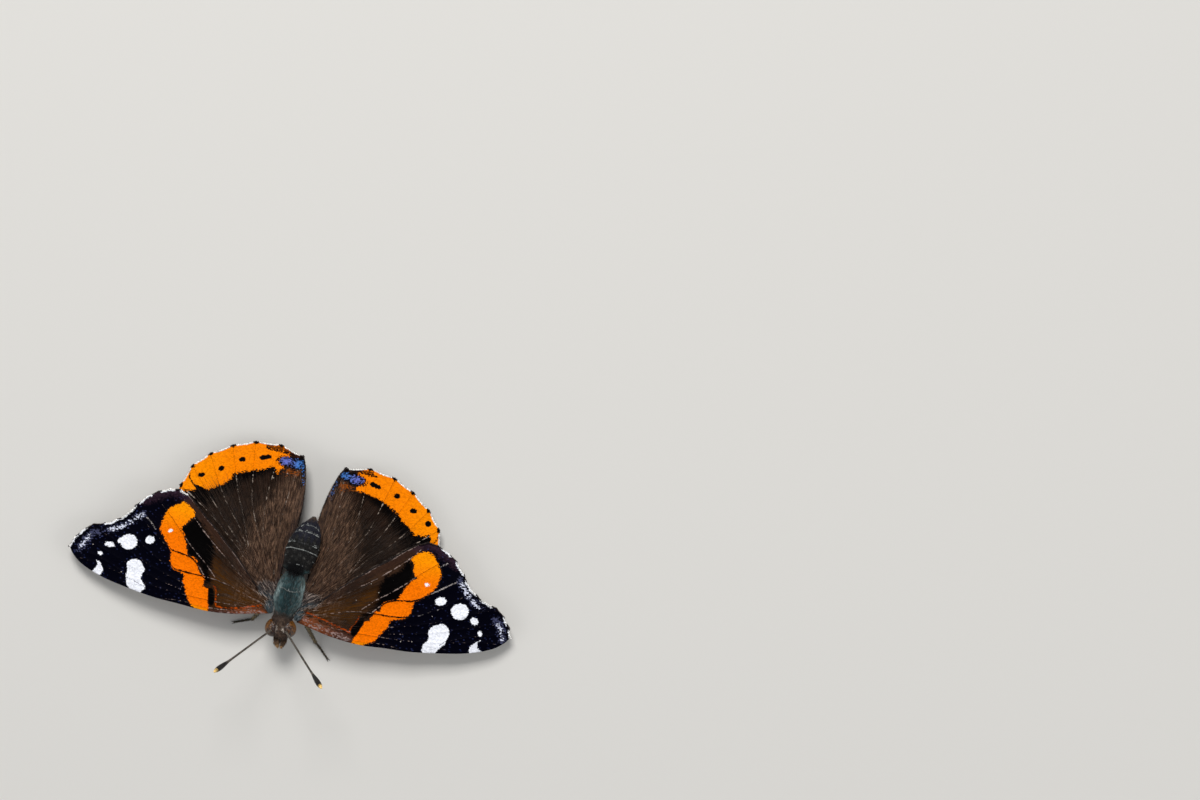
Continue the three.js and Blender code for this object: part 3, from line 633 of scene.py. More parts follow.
def reachIn(spots, wing):  # the root narrows and runs on into the chest
    middle = np.array(wing["root"])
    near = softStep(2.4, 0.2, np.hypot(*(spots - middle).T))
    pull = np.column_stack((np.full(len(spots), 0.75), 0.3 * (spots[:, 1] - middle[1])))
    return spots - near[:, None] * pull


def rimEdges(faces):  # the edges that only one triangle has, in its own direction
    seen = set()
    for a, b, c in faces:
        for edge in ((a, b), (b, c), (c, a)):
            if edge[::-1] in seen:
                seen.remove(edge[::-1])
            else:
                seen.add(edge)
    return sorted(seen)


def wingValues(spots, wing, marks, where, ring):  # what both wings store, in millimetres
    pixels = photoPixels(onBody(spots, wing, where))
    out = spots - np.array(wing["flowFrom"])
    values = {"along": np.hypot(*out.T), "across": np.arctan2(out[:, 1], out[:, 0]) * 10,
              "edge": 0.16 - pathDistance(spots, np.vstack((ring, ring[:1]))),
              **{name: markDistance(pixels, mark) for name, mark in marks.items()}}
    return values, veinDistance(spots, wing), pixels


def brokenLine(values):  # worn veins show as broken pale lines
    along = values["along"] + 3 * values["across"]
    return 0.035 * (1 + np.sin(along * 4.1 + 2.5 * np.sin(along * 1.3)))


def fringePale(line, wing, where):  # 1 where the photo shows a white stretch of fringe, else -1
    pixels = photoPixels(onBody(line, wing, where))
    pale = -np.ones(len(line))
    for ends in forewingMarks[where]["fringe"]:
        first, last = sorted(np.argmin(np.hypot(*(pixels - end).T)) for end in ends)
        pale[first:last + 1] = 1
    return pale


def forewingValues(spots, where, ring):
    drawn = forewingMarks[where]
    values, crest, pixels = wingValues(spots, forewing, drawn["marks"], where, ring)
    u, v = spots.T
    out, into = curveThrough(drawn["bandOut"], 3), curveThrough(drawn["bandIn"], 3)
    orange = outlineDistance(pixels, np.vstack((out, into[::-1]))) / photo["perMm"]
    apex = outlineDistance(pixels, np.vstack((out, drawn["beyond"]))) / photo["perMm"]
    veins = forewing["veins"]
    thin, cut = (np.min([pathDistance(spots, curveThrough(veins[name], 4)) for name in names], axis=0)
                 for names in (("cubitus2", "media1", "media2", "radius"), ("cubitus1", "cubitus")))
    pale = np.where(orange < 0, 0.07 - crest - 1.2 * brokenLine(values), -1)
    pale -= 0.035 * softStep(13, 17, u) + 0.055 * softStep(-0.3, 0.6, apex)
    pale -= 0.03 * softStep(9, 5, u)
    trailing = pathDistance(spots, curveThrough(forewing["inner"], 4))
    margin = respaced(outerMargin(forewing), 0.1)
    nearWhite = spotDistance(spots, margin[fringePale(margin, forewing, where) > 0])
    values.update({
        "orange": orange, "apex": apex,
        "warm": np.clip(0.7 * softStep(5.5, 11, v) + softStep(2.6, 3.4, -v), 0, 1),
        "veinDark": np.where(orange > -0.1, 0.04 - thin, -1),
        "bandCut": np.where(orange > -0.1, 0.1 - cut, -1),
        "veinPale": np.maximum(pale, np.where(u > 4, 0.34 - trailing, -1) - brokenLine(values)),
        "strip": np.where(u > 3, 1.2 - trailing, -1),
        "whiteVein": np.where(values["white"] > -0.05, values["whiteVein"], -1),
        "speckle": np.where(apex > 0.1, -0.95 + 0.1 * softStep(-0.9, 0.1, values["fleck"]), -2),
        "costalBloom": values["costal"] - 0.72,
        "costalRoot": np.minimum(values["costal"], (4.2 - u) * 0.25),
        "plum": 1.1 - pathDistance(spots, outerMargin(forewing)) - 4 * softStep(9.5, 7, v),
        "hem": np.minimum(values["edge"] + 0.04, 0.42 - nearWhite),
        "hairDark": softStep(2, 7, u) * 2 - 0.8,
        "hairShare": softStep(9.5, 3.5, u - 0.45 * v) * softStep(-2.2, 0.2, v) * softStep(11, 6, u),
        "hairLength": 1.5 + 1.2 * softStep(1, 6, u)})
    return values, crest


def hindwingValues(spots, where, ring):
    drawn = hindwingMarks[where]
    values, crest, _ = wingValues(spots, hindwing, drawn["marks"], where, ring)
    u, v = spots.T
    edge = curveThrough(drawn["bandEdge"], 3)
    orange = outlineDistance(spots, np.vstack((edge, hindwing["beyondBand"])))
    shade = 0.4 + 2.1 * np.clip((u - 4) / 8, 0, 1) - pathDistance(spots, edge)
    tongue = pathDistance(spots, curveThrough(hindwing["blackTongue"], 6))
    tick = spotDistance(spots, veinEnds(hindwing))
    pale = np.where(orange < 0, 0.065 - crest - 1.6 * brokenLine(values), -1)
    values.update({
        "orange": orange, "shade": np.where(orange > 0, -1, shade),
        "black": np.maximum(values["black"], 0.12 + 0.4 * softStep(15.2, 13.8, u) - tongue),
        "tick": 0.42 - tick,
        "hem": np.where(tick > 0.5, 0.3 - pathDistance(spots, outerMargin(hindwing)), -1),
        "warm": np.clip(softStep(9, 15, u) * 0.6 + 0.3, 0, 1),
        "veinDark": np.where(orange > -0.1, 0.03 - crest, -1),
        "veinPale": pale - 0.06 * softStep(12.5, 8, values["along"]),
        "blueRing": values["blue"] + 0.32,
        "blueDark": np.where(values["blue"] > -0.1, -0.3, -2),
        "blue": values["blue"] - 0.05,
        "violet": softStep(0.8, 2.6, u),
        "innerEdge": softStep(0.6, -0.8, u) * 1.2 - 0.6,
        "hairDark": softStep(5.5, 9.5, u + 0.25 * values["along"]) * 2 - 1,
        "hairShare": softStep(17.5, 11.0, v + 0.35 * u) * softStep(12, 4.5, u - 0.35 * v),
        "hairLength": 2.0 + 1.6 * softStep(2, 9, v)})
    return values, crest


def wingPiece(name, wing, where, valuesOf, finishes):
    spots, faces, ring = wingMesh(wing)
    spots = reachIn(spots, wing)
    values, crest = valuesOf(spots, where, ring)
    flat = onBody(spots, wing, where)
    x, y = flat.T
    fromHinge, fromRim = values["along"], 0.16 - values.pop("edge")
    wave = 0.05 * np.sin(x * 0.9 + y * 0.7) + 0.04 * np.sin(y * 1.3 - x * 0.4)
    facingEdge = curveThrough(wing["inner" if wing is forewing else "costa"], 4)
    overlap = softStep(4.5, 0, pathDistance(spots, facingEdge)) * softStep(2, 5, fromHinge)
    middle = sheetHeight(flat) + wing["lift"] - softStep(0, 1.3, crest) * fineWing["pleat"]
    middle = middle + wave * softStep(3, 8, fromHinge) + wing["nearLift"] * overlap
    middle = np.minimum(middle, belowAbdomen(flat))
    ridge = fineWing["ridge"] * np.exp(-(crest / fineWing["ridgeWidth"]) ** 2) * softStep(0, 0.5, fromRim)
    rim, full = fineWing["rimThick"], fineWing["thick"]
    half = (rim + (full - rim) * softStep(0, 0.5, fromRim)) / 2
    n = len(spots)
    allFaces = faces + [(n + a, n + c, n + b) for a, b, c in faces]
    allFaces += [(b, a, n + a, n + b) for a, b in rimEdges(faces)]
    finishOf = [0] * len(faces) + [1] * len(faces) + [0] * (len(allFaces) - 2 * len(faces))
    unwrap = (spots - spots.min(axis=0)) / fineWing["unwrapSize"] + 0.02
    shape = {"points": np.vstack((np.column_stack((flat, middle + half + ridge)),
                                  np.column_stack((flat, middle - half - ridge * 0.6)))),
             "faces": allFaces, "corners": [[tuple(unwrap[i % n]) for i in face] for face in allFaces]}
    # long fine hairs lie out from the hinge, over the inner half of each wing's upper side
    ahead = 0.5
    there = onBody(spots + unit(spots - np.array(wing["flowFrom"])) * ahead, wing, where)
    lie = np.column_stack((there - flat, sheetHeight(there) - sheetHeight(flat))) / ahead
    values = {key: np.tile(value, 2) for key, value in values.items()}
    values["hairShare"][n:] = 0
    values["lie"] = np.vstack((lie, lie))
    return makePiece(name, outward(shape), finishes, values, faceMaterials=finishOf)


# The body: one skin from the face to the tail, drawn in by the depth of its coat
body = {
    "thorax": {"front": -3.3, "back": 4.1, "halfWidth": 2.2, "halfHeight": 2.6, "z": 5.2, "shoulder": 0.07},
    "abdomen": {"front": 3.4, "back": 11.9, "halfWidth": 2.4, "halfHeight": 2.05, "z": 5.5, "tipDrop": 0.5,
                "tipAside": 0.45, "widestAt": 0.42},
    "head": {"aside": 0.12, "y": -4.75, "z": 5.2, "yaw": 12, "halfWidth": 1.55, "halfLength": 1.7,
             "halfHeight": 1.6},
    "neck": {"y": -3.25, "halfLength": 1.7, "radius": 1.62, "z": 5.25, "aside": 0.06},
    "ringEdges": (4.75, 5.85, 6.95, 7.95, 8.8, 9.6, 10.6), "ringStep": 0.09,
    "ringFaint": (0.3, 0.3, 0.05, 0.12, 0.3, 0.08, 0.1),  # how much narrower each pale ring is
    "furDepth": 0.24, "scaleDepth": 0.07, "rows": 240, "around": 96, "blend": 5,
    "sockets": {"right": (-0.64, -4.95), "left": (0.7, -4.75)},  # where the feelers stand, in pale scales whose patch is also a painted highlight
    "streaks": ([(-1.35, 1.2), (-1.62, -0.6), (-1.6, -2.3)], [(1.7, 1.4), (1.95, -0.4), (1.7, -2.2)]),
}


# each form's half width, half height, place aside and height along the body
def abdomenSection(y):
    a = body["abdomen"]
    t = np.clip((y - a["front"]) / (a["back"] - a["front"]), -0.2, 1)
    ahead = 0.74 + 0.26 * np.sin(math.pi / 2 * np.clip(t / a["widestAt"], 0, 1))
    behind = (1 - (np.maximum(0, t - a["widestAt"]) / (1 - a["widestAt"])) ** 1.9) ** 0.72
    share = ahead * behind * softStep(-0.06, 0.05, t)
    bend = t * t
    return share * a["halfWidth"], share * a["halfHeight"], a["tipAside"] * bend, a["z"] - a["tipDrop"] * bend


def thoraxSection(y):
    a = body["thorax"]
    t = np.clip((y - (a["front"] + a["back"]) / 2) / ((a["back"] - a["front"]) / 2), -1, 1)
    share = np.sqrt(1 - np.abs(t) ** 2.7)
    wide = 1 - 0.1 * t * t + a["shoulder"] * np.exp(-((t + 0.35) / 0.4) ** 2)
    return share * wide * a["halfWidth"], share * a["halfHeight"], 0 * y, a["z"] - 0.25 * t * t


def headSection(y):
    a = body["head"]
    t = np.clip((y - a["y"]) / a["halfLength"], -1, 1)
    share = np.sqrt(1 - np.abs(t) ** 2.2)
    lean = math.sin(math.radians(a["yaw"])) * a["halfLength"]
    wide, high = share * (1 - 0.12 * t) * a["halfWidth"], share * a["halfHeight"]
    return wide, high, a["aside"] - lean * t, a["z"] + 0 * y


def neckSection(y):
    a = body["neck"]
    share = np.sqrt(np.clip(1 - ((y - a["y"]) / a["halfLength"]) ** 2, 0, 1))
    return share * a["radius"], share * a["radius"], a["aside"] + 0 * y, a["z"] + 0 * y


def bodySection(y):  # the four forms, run smoothly into one another
    forms = [section(y) for section in (headSection, neckSection, thoraxSection, abdomenSection)]
    wide, high, aside, z = (np.array([form[i] for form in forms]) for i in range(4))
    blend = body["blend"]
    weight = (wide + 1e-6) ** blend
    total = weight.sum(axis=0)
    return (total ** (1 / blend), ((high + 1e-6) ** blend).sum(axis=0) ** (1 / blend),
            (aside * weight).sum(axis=0) / total, (z * weight).sum(axis=0) / total)


def belowAbdomen(flat):  # the height under which a wing's edge has to pass there
    wide, high, aside, z = abdomenSection(flat[:, 1])
    room = 0.12
    share = np.abs(flat[:, 0] - aside) / (wide + room)
    under = z - (high + room) * np.sqrt(np.clip(1 - share ** 2, 0, 1))
    clear = (share > 1) | (flat[:, 1] < 3.6) | (flat[:, 1] > body["abdomen"]["back"])
    return np.where(clear, 99, under)


def ringProgress(y):  # from 0 just behind a ring's edge to 1 at the next
    edges = np.array((3.6, *body["ringEdges"], 12.2))
    i = np.clip(np.searchsorted(edges, y) - 1, 0, len(edges) - 2)
    return (y - edges[i]) / (edges[i + 1] - edges[i])


def bodySkin():
    front = body["head"]["y"] - body["head"]["halfLength"] + body["furDepth"]
    back = body["abdomen"]["back"] - body["scaleDepth"]
    t = np.linspace(0, 1, body["rows"] + 2)[1:-1]
    ends = 0.5 - 0.5 * np.cos(math.pi * t)  # rows stand closer together towards both ends
    y = front + (back - front) * (0.55 * t + 0.45 * ends)
    wide, high, aside, z = bodySection(y)
    depth = body["furDepth"] + (body["scaleDepth"] - body["furDepth"]) * softStep(2.6, 5.0, y)
    swell = softStep(3.8, 4.8, y) * body["ringStep"] * (ringProgress(y) ** 2 - 0.6)
    wide, high = (np.maximum(half - depth + swell, 0.04) for half in (wide, high))
    angles = np.arange(body["around"]) * 2 * math.pi / body["around"]
    rows = [np.column_stack((aside[k] + wide[k] * np.cos(angles), np.full(len(angles), y[k]),
                             z[k] + high[k] * np.sin(angles))) for k in range(len(y))]
    return closedRows([[(aside[0], front - 0.01, z[0])], *rows, [(aside[-1], back, z[-1])]], body["around"])


def bodyValues(points):
    x, y, z = points.T
    wide, high, aside, middle = bodySection(y)
    across = (x - aside) / np.maximum(wide, 0.3)  # -1 and 1 at the flanks
    up = (z - middle) / np.maximum(high, 0.3)
    onHead, onAbdomen = softStep(-2.9, -3.5, y), softStep(3.4, 4.4, y)
    flat = points[:, :2]
    streaks = np.min([pathDistance(flat, curveThrough(line, 4)) for line in body["streaks"]], axis=0)
    faint = np.interp(y, body["ringEdges"], body["ringFaint"])
    shoulder = softStep(0.75, 1, np.abs(across)) * softStep(0.1, -1.0, np.abs(y + 0.6) - 2) * (up > -0.4)
    lieBack = np.column_stack((0.35 * across, np.ones(len(y)), -0.1 * np.ones(len(y))))
    lieAhead = np.column_stack((0.6 * across, -np.ones(len(y)), 0.5 * up))
    lie = lieBack + (lieAhead - lieBack) * onHead[:, None]
    lie[:, 0] += 1.3 * shoulder * np.sign(x)
    length = 0.95 - 0.25 * onHead - 0.65 * onAbdomen + 0.45 * shoulder + 0.5 * softStep(10.9, 11.7, y)
    length = length + 0.3 * onAbdomen * softStep(0.75, 1, np.abs(across)) * (up > -0.5)
    return {
        "face": onHead * 2 - 1,
        "collar": softStep(-2.35, -3.2, y) - 0.5,
        "flank": np.abs(across) - 0.62 - 2 * onHead - 2 * onAbdomen,
        "tail": onAbdomen - 0.5,
        "blackTuft": ovalDistance(flat, (-0.1, 3.85), (1.35, 1.35)) - (up < 0),
        "ring": np.where((up > -0.3) & (y > 4.4), 0.1 - (1 - ringProgress(y)) * 1.1 - faint, -1),
        "streak": np.where(up > 0, 0.24 - streaks, -1) - onHead - onAbdomen,
        "middle": 0.75 - np.abs(x - 0.15) - 0.5 * softStep(-0.4, 0.9, y) - 3 * onHead,
        "navy": y - 8.6 + 0.4 * np.sin(7 * x),
        "fuzz": np.where(up > -0.1, 0.32 * np.sin(5.1 * x + 2.3 * y) * np.sin(4.3 * y - 2 * x) - 0.42, -1),
        "tailTuft": y - 11.3,
        "belly": -up - 0.25,
        "vertex": 0.35 - np.abs(x - aside) - 3 * (1 - onHead),
        # the pale patch round each feeler socket: pale scales, lightened into a painted highlight as well
        "socket": 0.36 - spotDistance(flat, body["sockets"].values()) - (up < 0.1),
        "lie": lie,
        "hairLength": length - 0.15 * softStep(0, -1, up),
        "hairShare": 1 - 0.35 * onAbdomen + 0 * y,
    }


# Scales and hairs of the body: long blue-green grey hair on the chest, brown bristles on the head and
# flat charcoal scales on the abdomen, whose rings end in a pale row.
bodyLook = {
    "ground": ("#1a2a2a", "#456063"),
    "layers": [
        ("middle", "#16292c", 0.5, 0.4, 0.75),
        ("flank", "#5c6663", 0.25, 0.5, 0.6),
        ("streak", "#8b9c9b", 0.16, 0.35, 0.7),
        ("collar", "#3a2f28", 0.45, 0.5, 1),
        ("tail", "#181716", 0.3, 0.3, 1),
        ("navy", "#1d1e2c", 0.5, 0.4, 0.7),
        ("fuzz", "#5e5c58", 0.2, 0.7, 0.6),
        ("blackTuft", "#030304", 0.3, 0.4, 1),
        ("ring", "#5f6062", 0.08, 0.3, 0.7),
        ("belly", "#6b5b4a", 0.3, 0.3, 1),
        ("face", "#41332b", 0.4, 0.6, 1),
        ("vertex", "#7b6453", 0.2, 0.9, 0.45),
        # pale scales at the feeler sockets, also a painted highlight
        ("socket", "#d6cabd", 0.12, 0.4, 0.65),
        ("tailTuft", "#4d3d30", 0.25, 0.5, 0.8),
    ],
}


# Tufts, scales and beads: one unit long, along Y, and set out by Geometry Nodes

def bladeShape(strands, rows, width, thick, spread, bend, seed):
    draw = np.random.default_rng(seed)
    shapes = []
    for _ in range(strands):
        root = draw.uniform(-1, 1, 2) * (spread, spread * 0.4)
        fan = draw.uniform(-1, 1, 2) * (spread * 1.1, spread * 0.35)
        reach = draw.uniform(0.75, 1)
        points, faces = [], []
        for k in range(rows):
            t = k / rows
            taper = (1 - t ** 2.2) * (0.75 + 0.25 * min(1, 4 * t))
            for angle in (0, 2 * math.pi / 3, 4 * math.pi / 3):
                points.append((root[0] + fan[0] * t + width * taper * math.cos(angle), t * reach - 0.04,
                               root[1] + fan[1] * t - bend * t * t + thick * taper * math.sin(angle)))
        points.append((root[0] + fan[0], reach, root[1] + fan[1] - bend))
        for k in range(rows - 1):
            ring = 3 * k
            faces += [(ring + i, ring + (i + 1) % 3, ring + 3 + (i + 1) % 3, ring + 3 + i) for i in range(3)]
        tip = 3 * rows
        faces += [(tip - 3 + i, tip - 3 + (i + 1) % 3, tip) for i in range(3)] + [(2, 1, 0)]
        corners = [[(0, 0)] * len(face) for face in faces]
        shapes.append(outward({"points": np.array(points), "faces": faces, "corners": corners}))
    return joined(shapes)


def beadShape():  # a ring of a feeler, a little wider at its far end
    return tube([(0, t, 0) for t in (-0.5, -0.4, 0.1, 0.4, 0.5)], (0.78, 0.92, 0.97, 1.0, 0.84), 10)


def stockPiece(name, shape, jointTo=None):  # the near end of a bead is its pale joint
    x, y, z = shape["points"].T
    values = {"patch": np.clip(np.column_stack((x * 2, y - 0.5, 0 * z)), -0.5, 0.5)}
    if jointTo is not None:
        values["joint"] = np.where(y < jointTo, 1.0, -1.0)
    return makePiece(name, shape, [], values, metres=False)


stock = {
    "fur": stockPiece("furTuft", bladeShape(3, 3, 0.04, 0.025, 0.12, 0.15, 3)),
    "scale": stockPiece("scaleTuft", bladeShape(2, 2, 0.07, 0.02, 0.05, 0.05, 5)),
    "silk": stockPiece("silkHair", bladeShape(1, 5, 0.024, 0.018, 0.0, 0.01, 7)),
    "spine": stockPiece("spineHair", bladeShape(1, 2, 0.035, 0.035, 0.0, 0.05, 9)),
    "bead": stockPiece("feelerBead", beadShape(), -0.3),
}
tuftTerms = {"Tuft": "Object", "Per square millimetre": "Float", "Length": "Float", "Width": "Float",
             "Shortest": "Float", "Rise": "Float", "Stray": "Float", "Seed": "Int", "Finish": "Material"}


def newTree(name, inputs):
    tree = bpy.data.node_groups.new(name, "GeometryNodeTree")
    for label, kind in inputs.items():
        tree.interface.new_socket(label, in_out="INPUT", socket_type="NodeSocket" + kind)
    tree.interface.new_socket("Geometry", in_out="OUTPUT", socket_type="NodeSocketGeometry")
    node = partial(addNode, tree)
    return tree, node, node("NodeGroupInput").outputs


def settingTree(name, onPoints):  # sets tufts out over a surface, or one on each point
    tree, node, given = newTree(name, {"Ground": "Geometry", **tuftTerms})
    ground, seed = given["Ground"], given["Seed"]
    share, own, girth = (node("GeometryNodeInputNamedAttribute", {"Name": label}, data_type="FLOAT")
                         for label in ("hairShare", "hairLength", "hairWidth"))
    lie, root, patch = (node("GeometryNodeInputNamedAttribute", {"Name": label}, data_type="FLOAT_VECTOR")
                        for label in ("lie", "skinUV", "patch"))
    if onPoints:
        roots = node("GeometryNodeMeshToPoints", {"Mesh": ground}, mode="VERTICES")
        facing = node("GeometryNodeInputNamedAttribute", {"Name": "facing"}, data_type="FLOAT_VECTOR")
    else:
        perMetre = node("Math", (given["Per square millimetre"], 1 / mm ** 2), operation="MULTIPLY")
        density = node("Math", (perMetre, share), operation="MULTIPLY")
        roots = node("GeometryNodeDistributePointsOnFaces",
                     {"Mesh": ground, "Density": density, "Seed": seed}, distribute_method="RANDOM")
        facing = roots.outputs["Normal"]
    even = node("VectorMath", [lie], operation="NORMALIZE")
    stray = node("FunctionNodeRandomValue", {0: (-1, -1, -1), 1: (1, 1, 1), "Seed": seed},
                 data_type="FLOAT_VECTOR")
    wander = node("VectorMath", {0: stray, "Scale": given["Stray"]}, operation="SCALE")
    lifted = node("VectorMath", {0: facing, "Scale": given["Rise"]}, operation="SCALE")
    strayed = node("VectorMath", (even, wander), operation="ADD")
    # what points into the ground is laid along it before the tuft is lifted
    inward = node("VectorMath", (strayed, facing), operation="PROJECT")
    laid = node("VectorMath", (strayed, inward), operation="SUBTRACT")
    aim = node("VectorMath", (node("VectorMath", [laid], operation="NORMALIZE"), lifted), operation="ADD")
    pointed = node("FunctionNodeAlignRotationToVector", {"Vector": aim}, axis="Y")
    turn = node("FunctionNodeAlignRotationToVector", {"Rotation": pointed, "Vector": facing},
                axis="Z", pivot_axis="Y")
    luck = node("FunctionNodeRandomValue", {2: given["Shortest"], 3: 1.0, "Seed": seed}, data_type="FLOAT")
    length = node("Math", (node("Math", (own, luck), operation="MULTIPLY"), given["Length"]),
                  operation="MULTIPLY")
    width = node("Math", (girth, given["Width"]), operation="MULTIPLY")
    stretch = node("CombineXYZ", (width, length, width))
    size = node("VectorMath", {0: stretch, "Scale": mm}, operation="SCALE")
    tuft = node("GeometryNodeObjectInfo", {"Object": given["Tuft"]}, transform_space="ORIGINAL")
    grown = node("GeometryNodeInstanceOnPoints", {"Points": roots, "Instance": tuft.outputs["Geometry"],
                                                  "Rotation": turn, "Scale": size})
    chance = node("FunctionNodeRandomValue", {2: 0.5, 3: 1.5, "Seed": seed}, data_type="FLOAT")
    toned = node("GeometryNodeStoreNamedAttribute", {"Geometry": grown, "Name": "tuftTone", "Value": chance},
                 data_type="FLOAT", domain="INSTANCE")
    # each tuft keeps a small patch at its root's place on the unwrap of what it grows from
    spot = node("VectorMath", (patch, (0.003, 0.003, 0), root), operation="MULTIPLY_ADD")
    kept = node("GeometryNodeStoreNamedAttribute",
                {"Geometry": node("GeometryNodeRealizeInstances", [toned]), "Name": "OFBake", "Value": spot},
                data_type="FLOAT2", domain="CORNER")
    painted = node("GeometryNodeSetMaterial", {"Geometry": kept, "Material": given["Finish"]})
    node("NodeGroupOutput", [painted])
    return tree


onSurface, onLine = settingTree("hairsOnSkin", False), settingTree("scalesOnEdge", True)


def plainMesh(name, data, tree, values):  # what a tree makes of a mesh
    holder = linked(name + "Ground", data)
    modifier = holder.modifiers.new("setOut", "NODES")
    modifier.node_group = tree
    for item in tree.interface.items_tree:
        if item.in_out == "INPUT" and item.name in values:
            modifier[item.identifier] = values[item.name]
    graph = bpy.context.evaluated_depsgraph_get()
    mesh = bpy.data.meshes.new_from_object(holder.evaluated_get(graph), preserve_all_data_layers=True,
                                           depsgraph=graph)
    bpy.data.objects.remove(holder)
    mesh.name = name
    mesh.shade_smooth()
    return mesh


def pointsOf(mesh):
    points = np.empty(len(mesh.vertices) * 3)
    mesh.vertices.foreach_get("co", points)
    return points.reshape(-1, 3)


# Grows a coat, given as tuft, tufts to a square millimetre, length, width, shortest, rise, stray and seed
def grow(name, ground, terms, finish, slotName, *nodes):
    if "hairWidth" not in ground.attributes:
        storeValues(ground, {"hairWidth": np.ones(len(ground.vertices))})
    values = dict(zip(tuftTerms, (stock[terms[0]], *terms[1:], finish)))
    mesh = plainMesh(name, ground, onSurface if ground.polygons else onLine, values)
    # a bead's OFBake goes too
    for spare in ("skinUV", "patch", "lie", "hairShare", "hairLength", "hairWidth", "facing",
                  *(["OFBake"] if terms[0] == "bead" else [])):
        if spare in mesh.attributes:
            mesh.attributes.remove(mesh.attributes[spare])
    points = pointsOf(mesh)
    points[:, 2] = np.maximum(points[:, 2], 0)  # nothing goes into the floor
    mesh.vertices.foreach_set("co", points.ravel())
    settle(linked(name, mesh), slotName, *nodes)


# Wings: finishes, then each wing with its hairs and fringe
foreUpper = {
    "rowTurn": 8, "ground": ("#150c08", "#3f2b1e"),
    "layers": [
        ("cell", "#4c2d0d", 1.0, 0.4, 0.85),
        ("strip", "#34221b", 0.25, 0.3, 0.65),
        ("patch", "#020101", 0.25, 0.5, 1),
        ("apex", "#01010a", 0.25, 0.3, 1),
        ("plum", "#33222d", 0.6, 0.9, 0.8),
        ("costal", "#52352c", 0.25, 0.5, 0.9),
        ("costalRoot", "#91491f", 0.3, 0.6, 0.55),
        ("costalBloom", "#978480", 0.08, 1.2, 0.7),
        ("rust", "#b8480f", 0.05, 0.14, 0.9),
        ("veinPale", "#a08c84", 0.03, 0.1, 0.85),
        ("speckle", "#2c3358", 0.04, 2.0, 0.7),
        ("orange", ("#f97504", "#ffa016", "warm"), 0.03, 0.3, 1),
        ("veinDark", "#8a3d04", 0.03, 0.06, 0.85),
        ("bandCut", "#120702", 0.03, 0.14, 1),
        ("apexVein", "#b9b0ac", 0.04, 0.12, 0.85),
        ("black", "#030202", 0.04, 0.12, 1),
        ("fleck", "#565978", 0.12, 1.0, 0.6),
        ("fleckCore", "#dfe2f2", 0.06, 0.6, 0.9),
        ("white", "#f8f9ff", 0.03, 0.18, 1),
        ("whiteVein", "#565668", 0.03, 0.05, 0.85),
        ("hem", "#f0f1f6", 0.04, 0.2, 1),
    ],
}
foreUnder = {
    "rowTurn": 8, "ground": ("#1d1512", "#4b3a2e"), "clouded": 0.3,
    "marbling": [(0.3, "#120d0c"), (0.5, "#4a382c"), (0.62, "#8a735c"), (0.72, "#5a4a52")],
    "layers": [
        ("apex", "#5d4c3e", 1.2, 1.6, 0.55),
        ("patch", "#0b090b", 0.5, 0.6, 1),
        ("orange", ("#cf4f48", "#e08a4e", "warm"), 0.15, 0.5, 1),
        ("veinPale", "#6f5b4c", 0.04, 0.1, 0.7),
        ("black", "#39517e", 0.12, 0.5, 1),
        ("fleck", "#6d7fae", 0.2, 0.9, 0.7),
        ("white", "#dcd9d4", 0.06, 0.3, 1),
        ("hem", "#d8d3cb", 0.04, 0.2, 1),
    ],
}
hindUpper = {
    "rowTurn": 70, "ground": ("#170e09", "#48342a"),
    "layers": [
        ("innerEdge", "#2f2c33", 0.5, 0.3, 0.55),
        ("hairDark", "#140b06", 1.0, 0.2, 0.7),
        ("shade", "#040202", 0.5, 0.6, 1),
        ("veinPale", "#b3a395", 0.03, 0.1, 0.8),
        ("orange", ("#f77d05", "#fa8c06", "warm"), 0.04, 0.4, 1),
        ("dusting", "#8d4a1c", 0.12, 1.3, 0.85),
        ("veinDark", "#8a3d04", 0.03, 0.05, 0.6),
        ("black", "#060303", 0.03, 0.12, 1),
        ("rimRust", "#4f2009", 0.1, 0.6, 0.9),
        ("rim", "#1c0904", 0.06, 0.3, 1),
        ("blueRing", "#06050a", 0.06, 0.5, 1),
        ("blue", ("#4a79be", "#6871bb", "violet"), 0.05, 0.55, 1),
        ("blueDark", "#0c1026", 0.05, 1.2, 0.8),
        ("tick", "#070505", 0.05, 0.2, 1),
        ("hem", "#efece6", 0.04, 0.12, 1),
    ],
}
hindUnder = {
    "rowTurn": 70, "ground": ("#2a1f18", "#5a4636"), "clouded": 0.85,
    "marbling": [(0.28, "#0f0b0a"), (0.42, "#4b3829"), (0.55, "#2a201d"), (0.68, "#8c7359"),
                 (0.8, "#554a52")],
    "layers": [
        ("orange", "#6d5745", 1.0, 1.4, 0.5),
        ("veinPale", "#8b755e", 0.05, 0.12, 0.6),
        ("black", "#171a2c", 0.2, 0.5, 0.85),
        ("blue", "#2e4a66", 0.2, 0.5, 0.8),
        ("hem", "#d8d0c4", 0.04, 0.12, 1),
    ],
}
# Hollow silky hair scales, whose flat sides give a pale brown gleam
silkLook = {"ground": ("#35251b", "#82644f"), "layers": [("hairDark", "#1f150f", 1.0, 0, 0.9)]}
# Forked scales that stand out from the margin, white between the veins and black at them
fringeLook = {"ground": ("#120c0b", "#2b1f1a"), "layers": [("pale", "#f1eee8", 0.1, 0.0, 1)]}
wings = {
    "forewing": {"form": forewing, "values": forewingValues,
                 "hair": ("silk", 12, 1.0, 1.0, 0.5, 0.045, 0.05, 11)},
    "hindwing": {"form": hindwing, "values": hindwingValues,
                 "hair": ("silk", 24, 1.0, 1.0, 0.5, 0.045, 0.05, 11)},
}
fringe = {"scales": ("scale", 0, 1.0, 1.0, 0.7, 0.0, 0.22, 5), "spacing": 0.032, "innerSpacing": 0.05,
          "length": 0.27, "innerLength": 0.34, "scatter": 0.03, "tickWidth": 0.5, "overlap": 0.06}


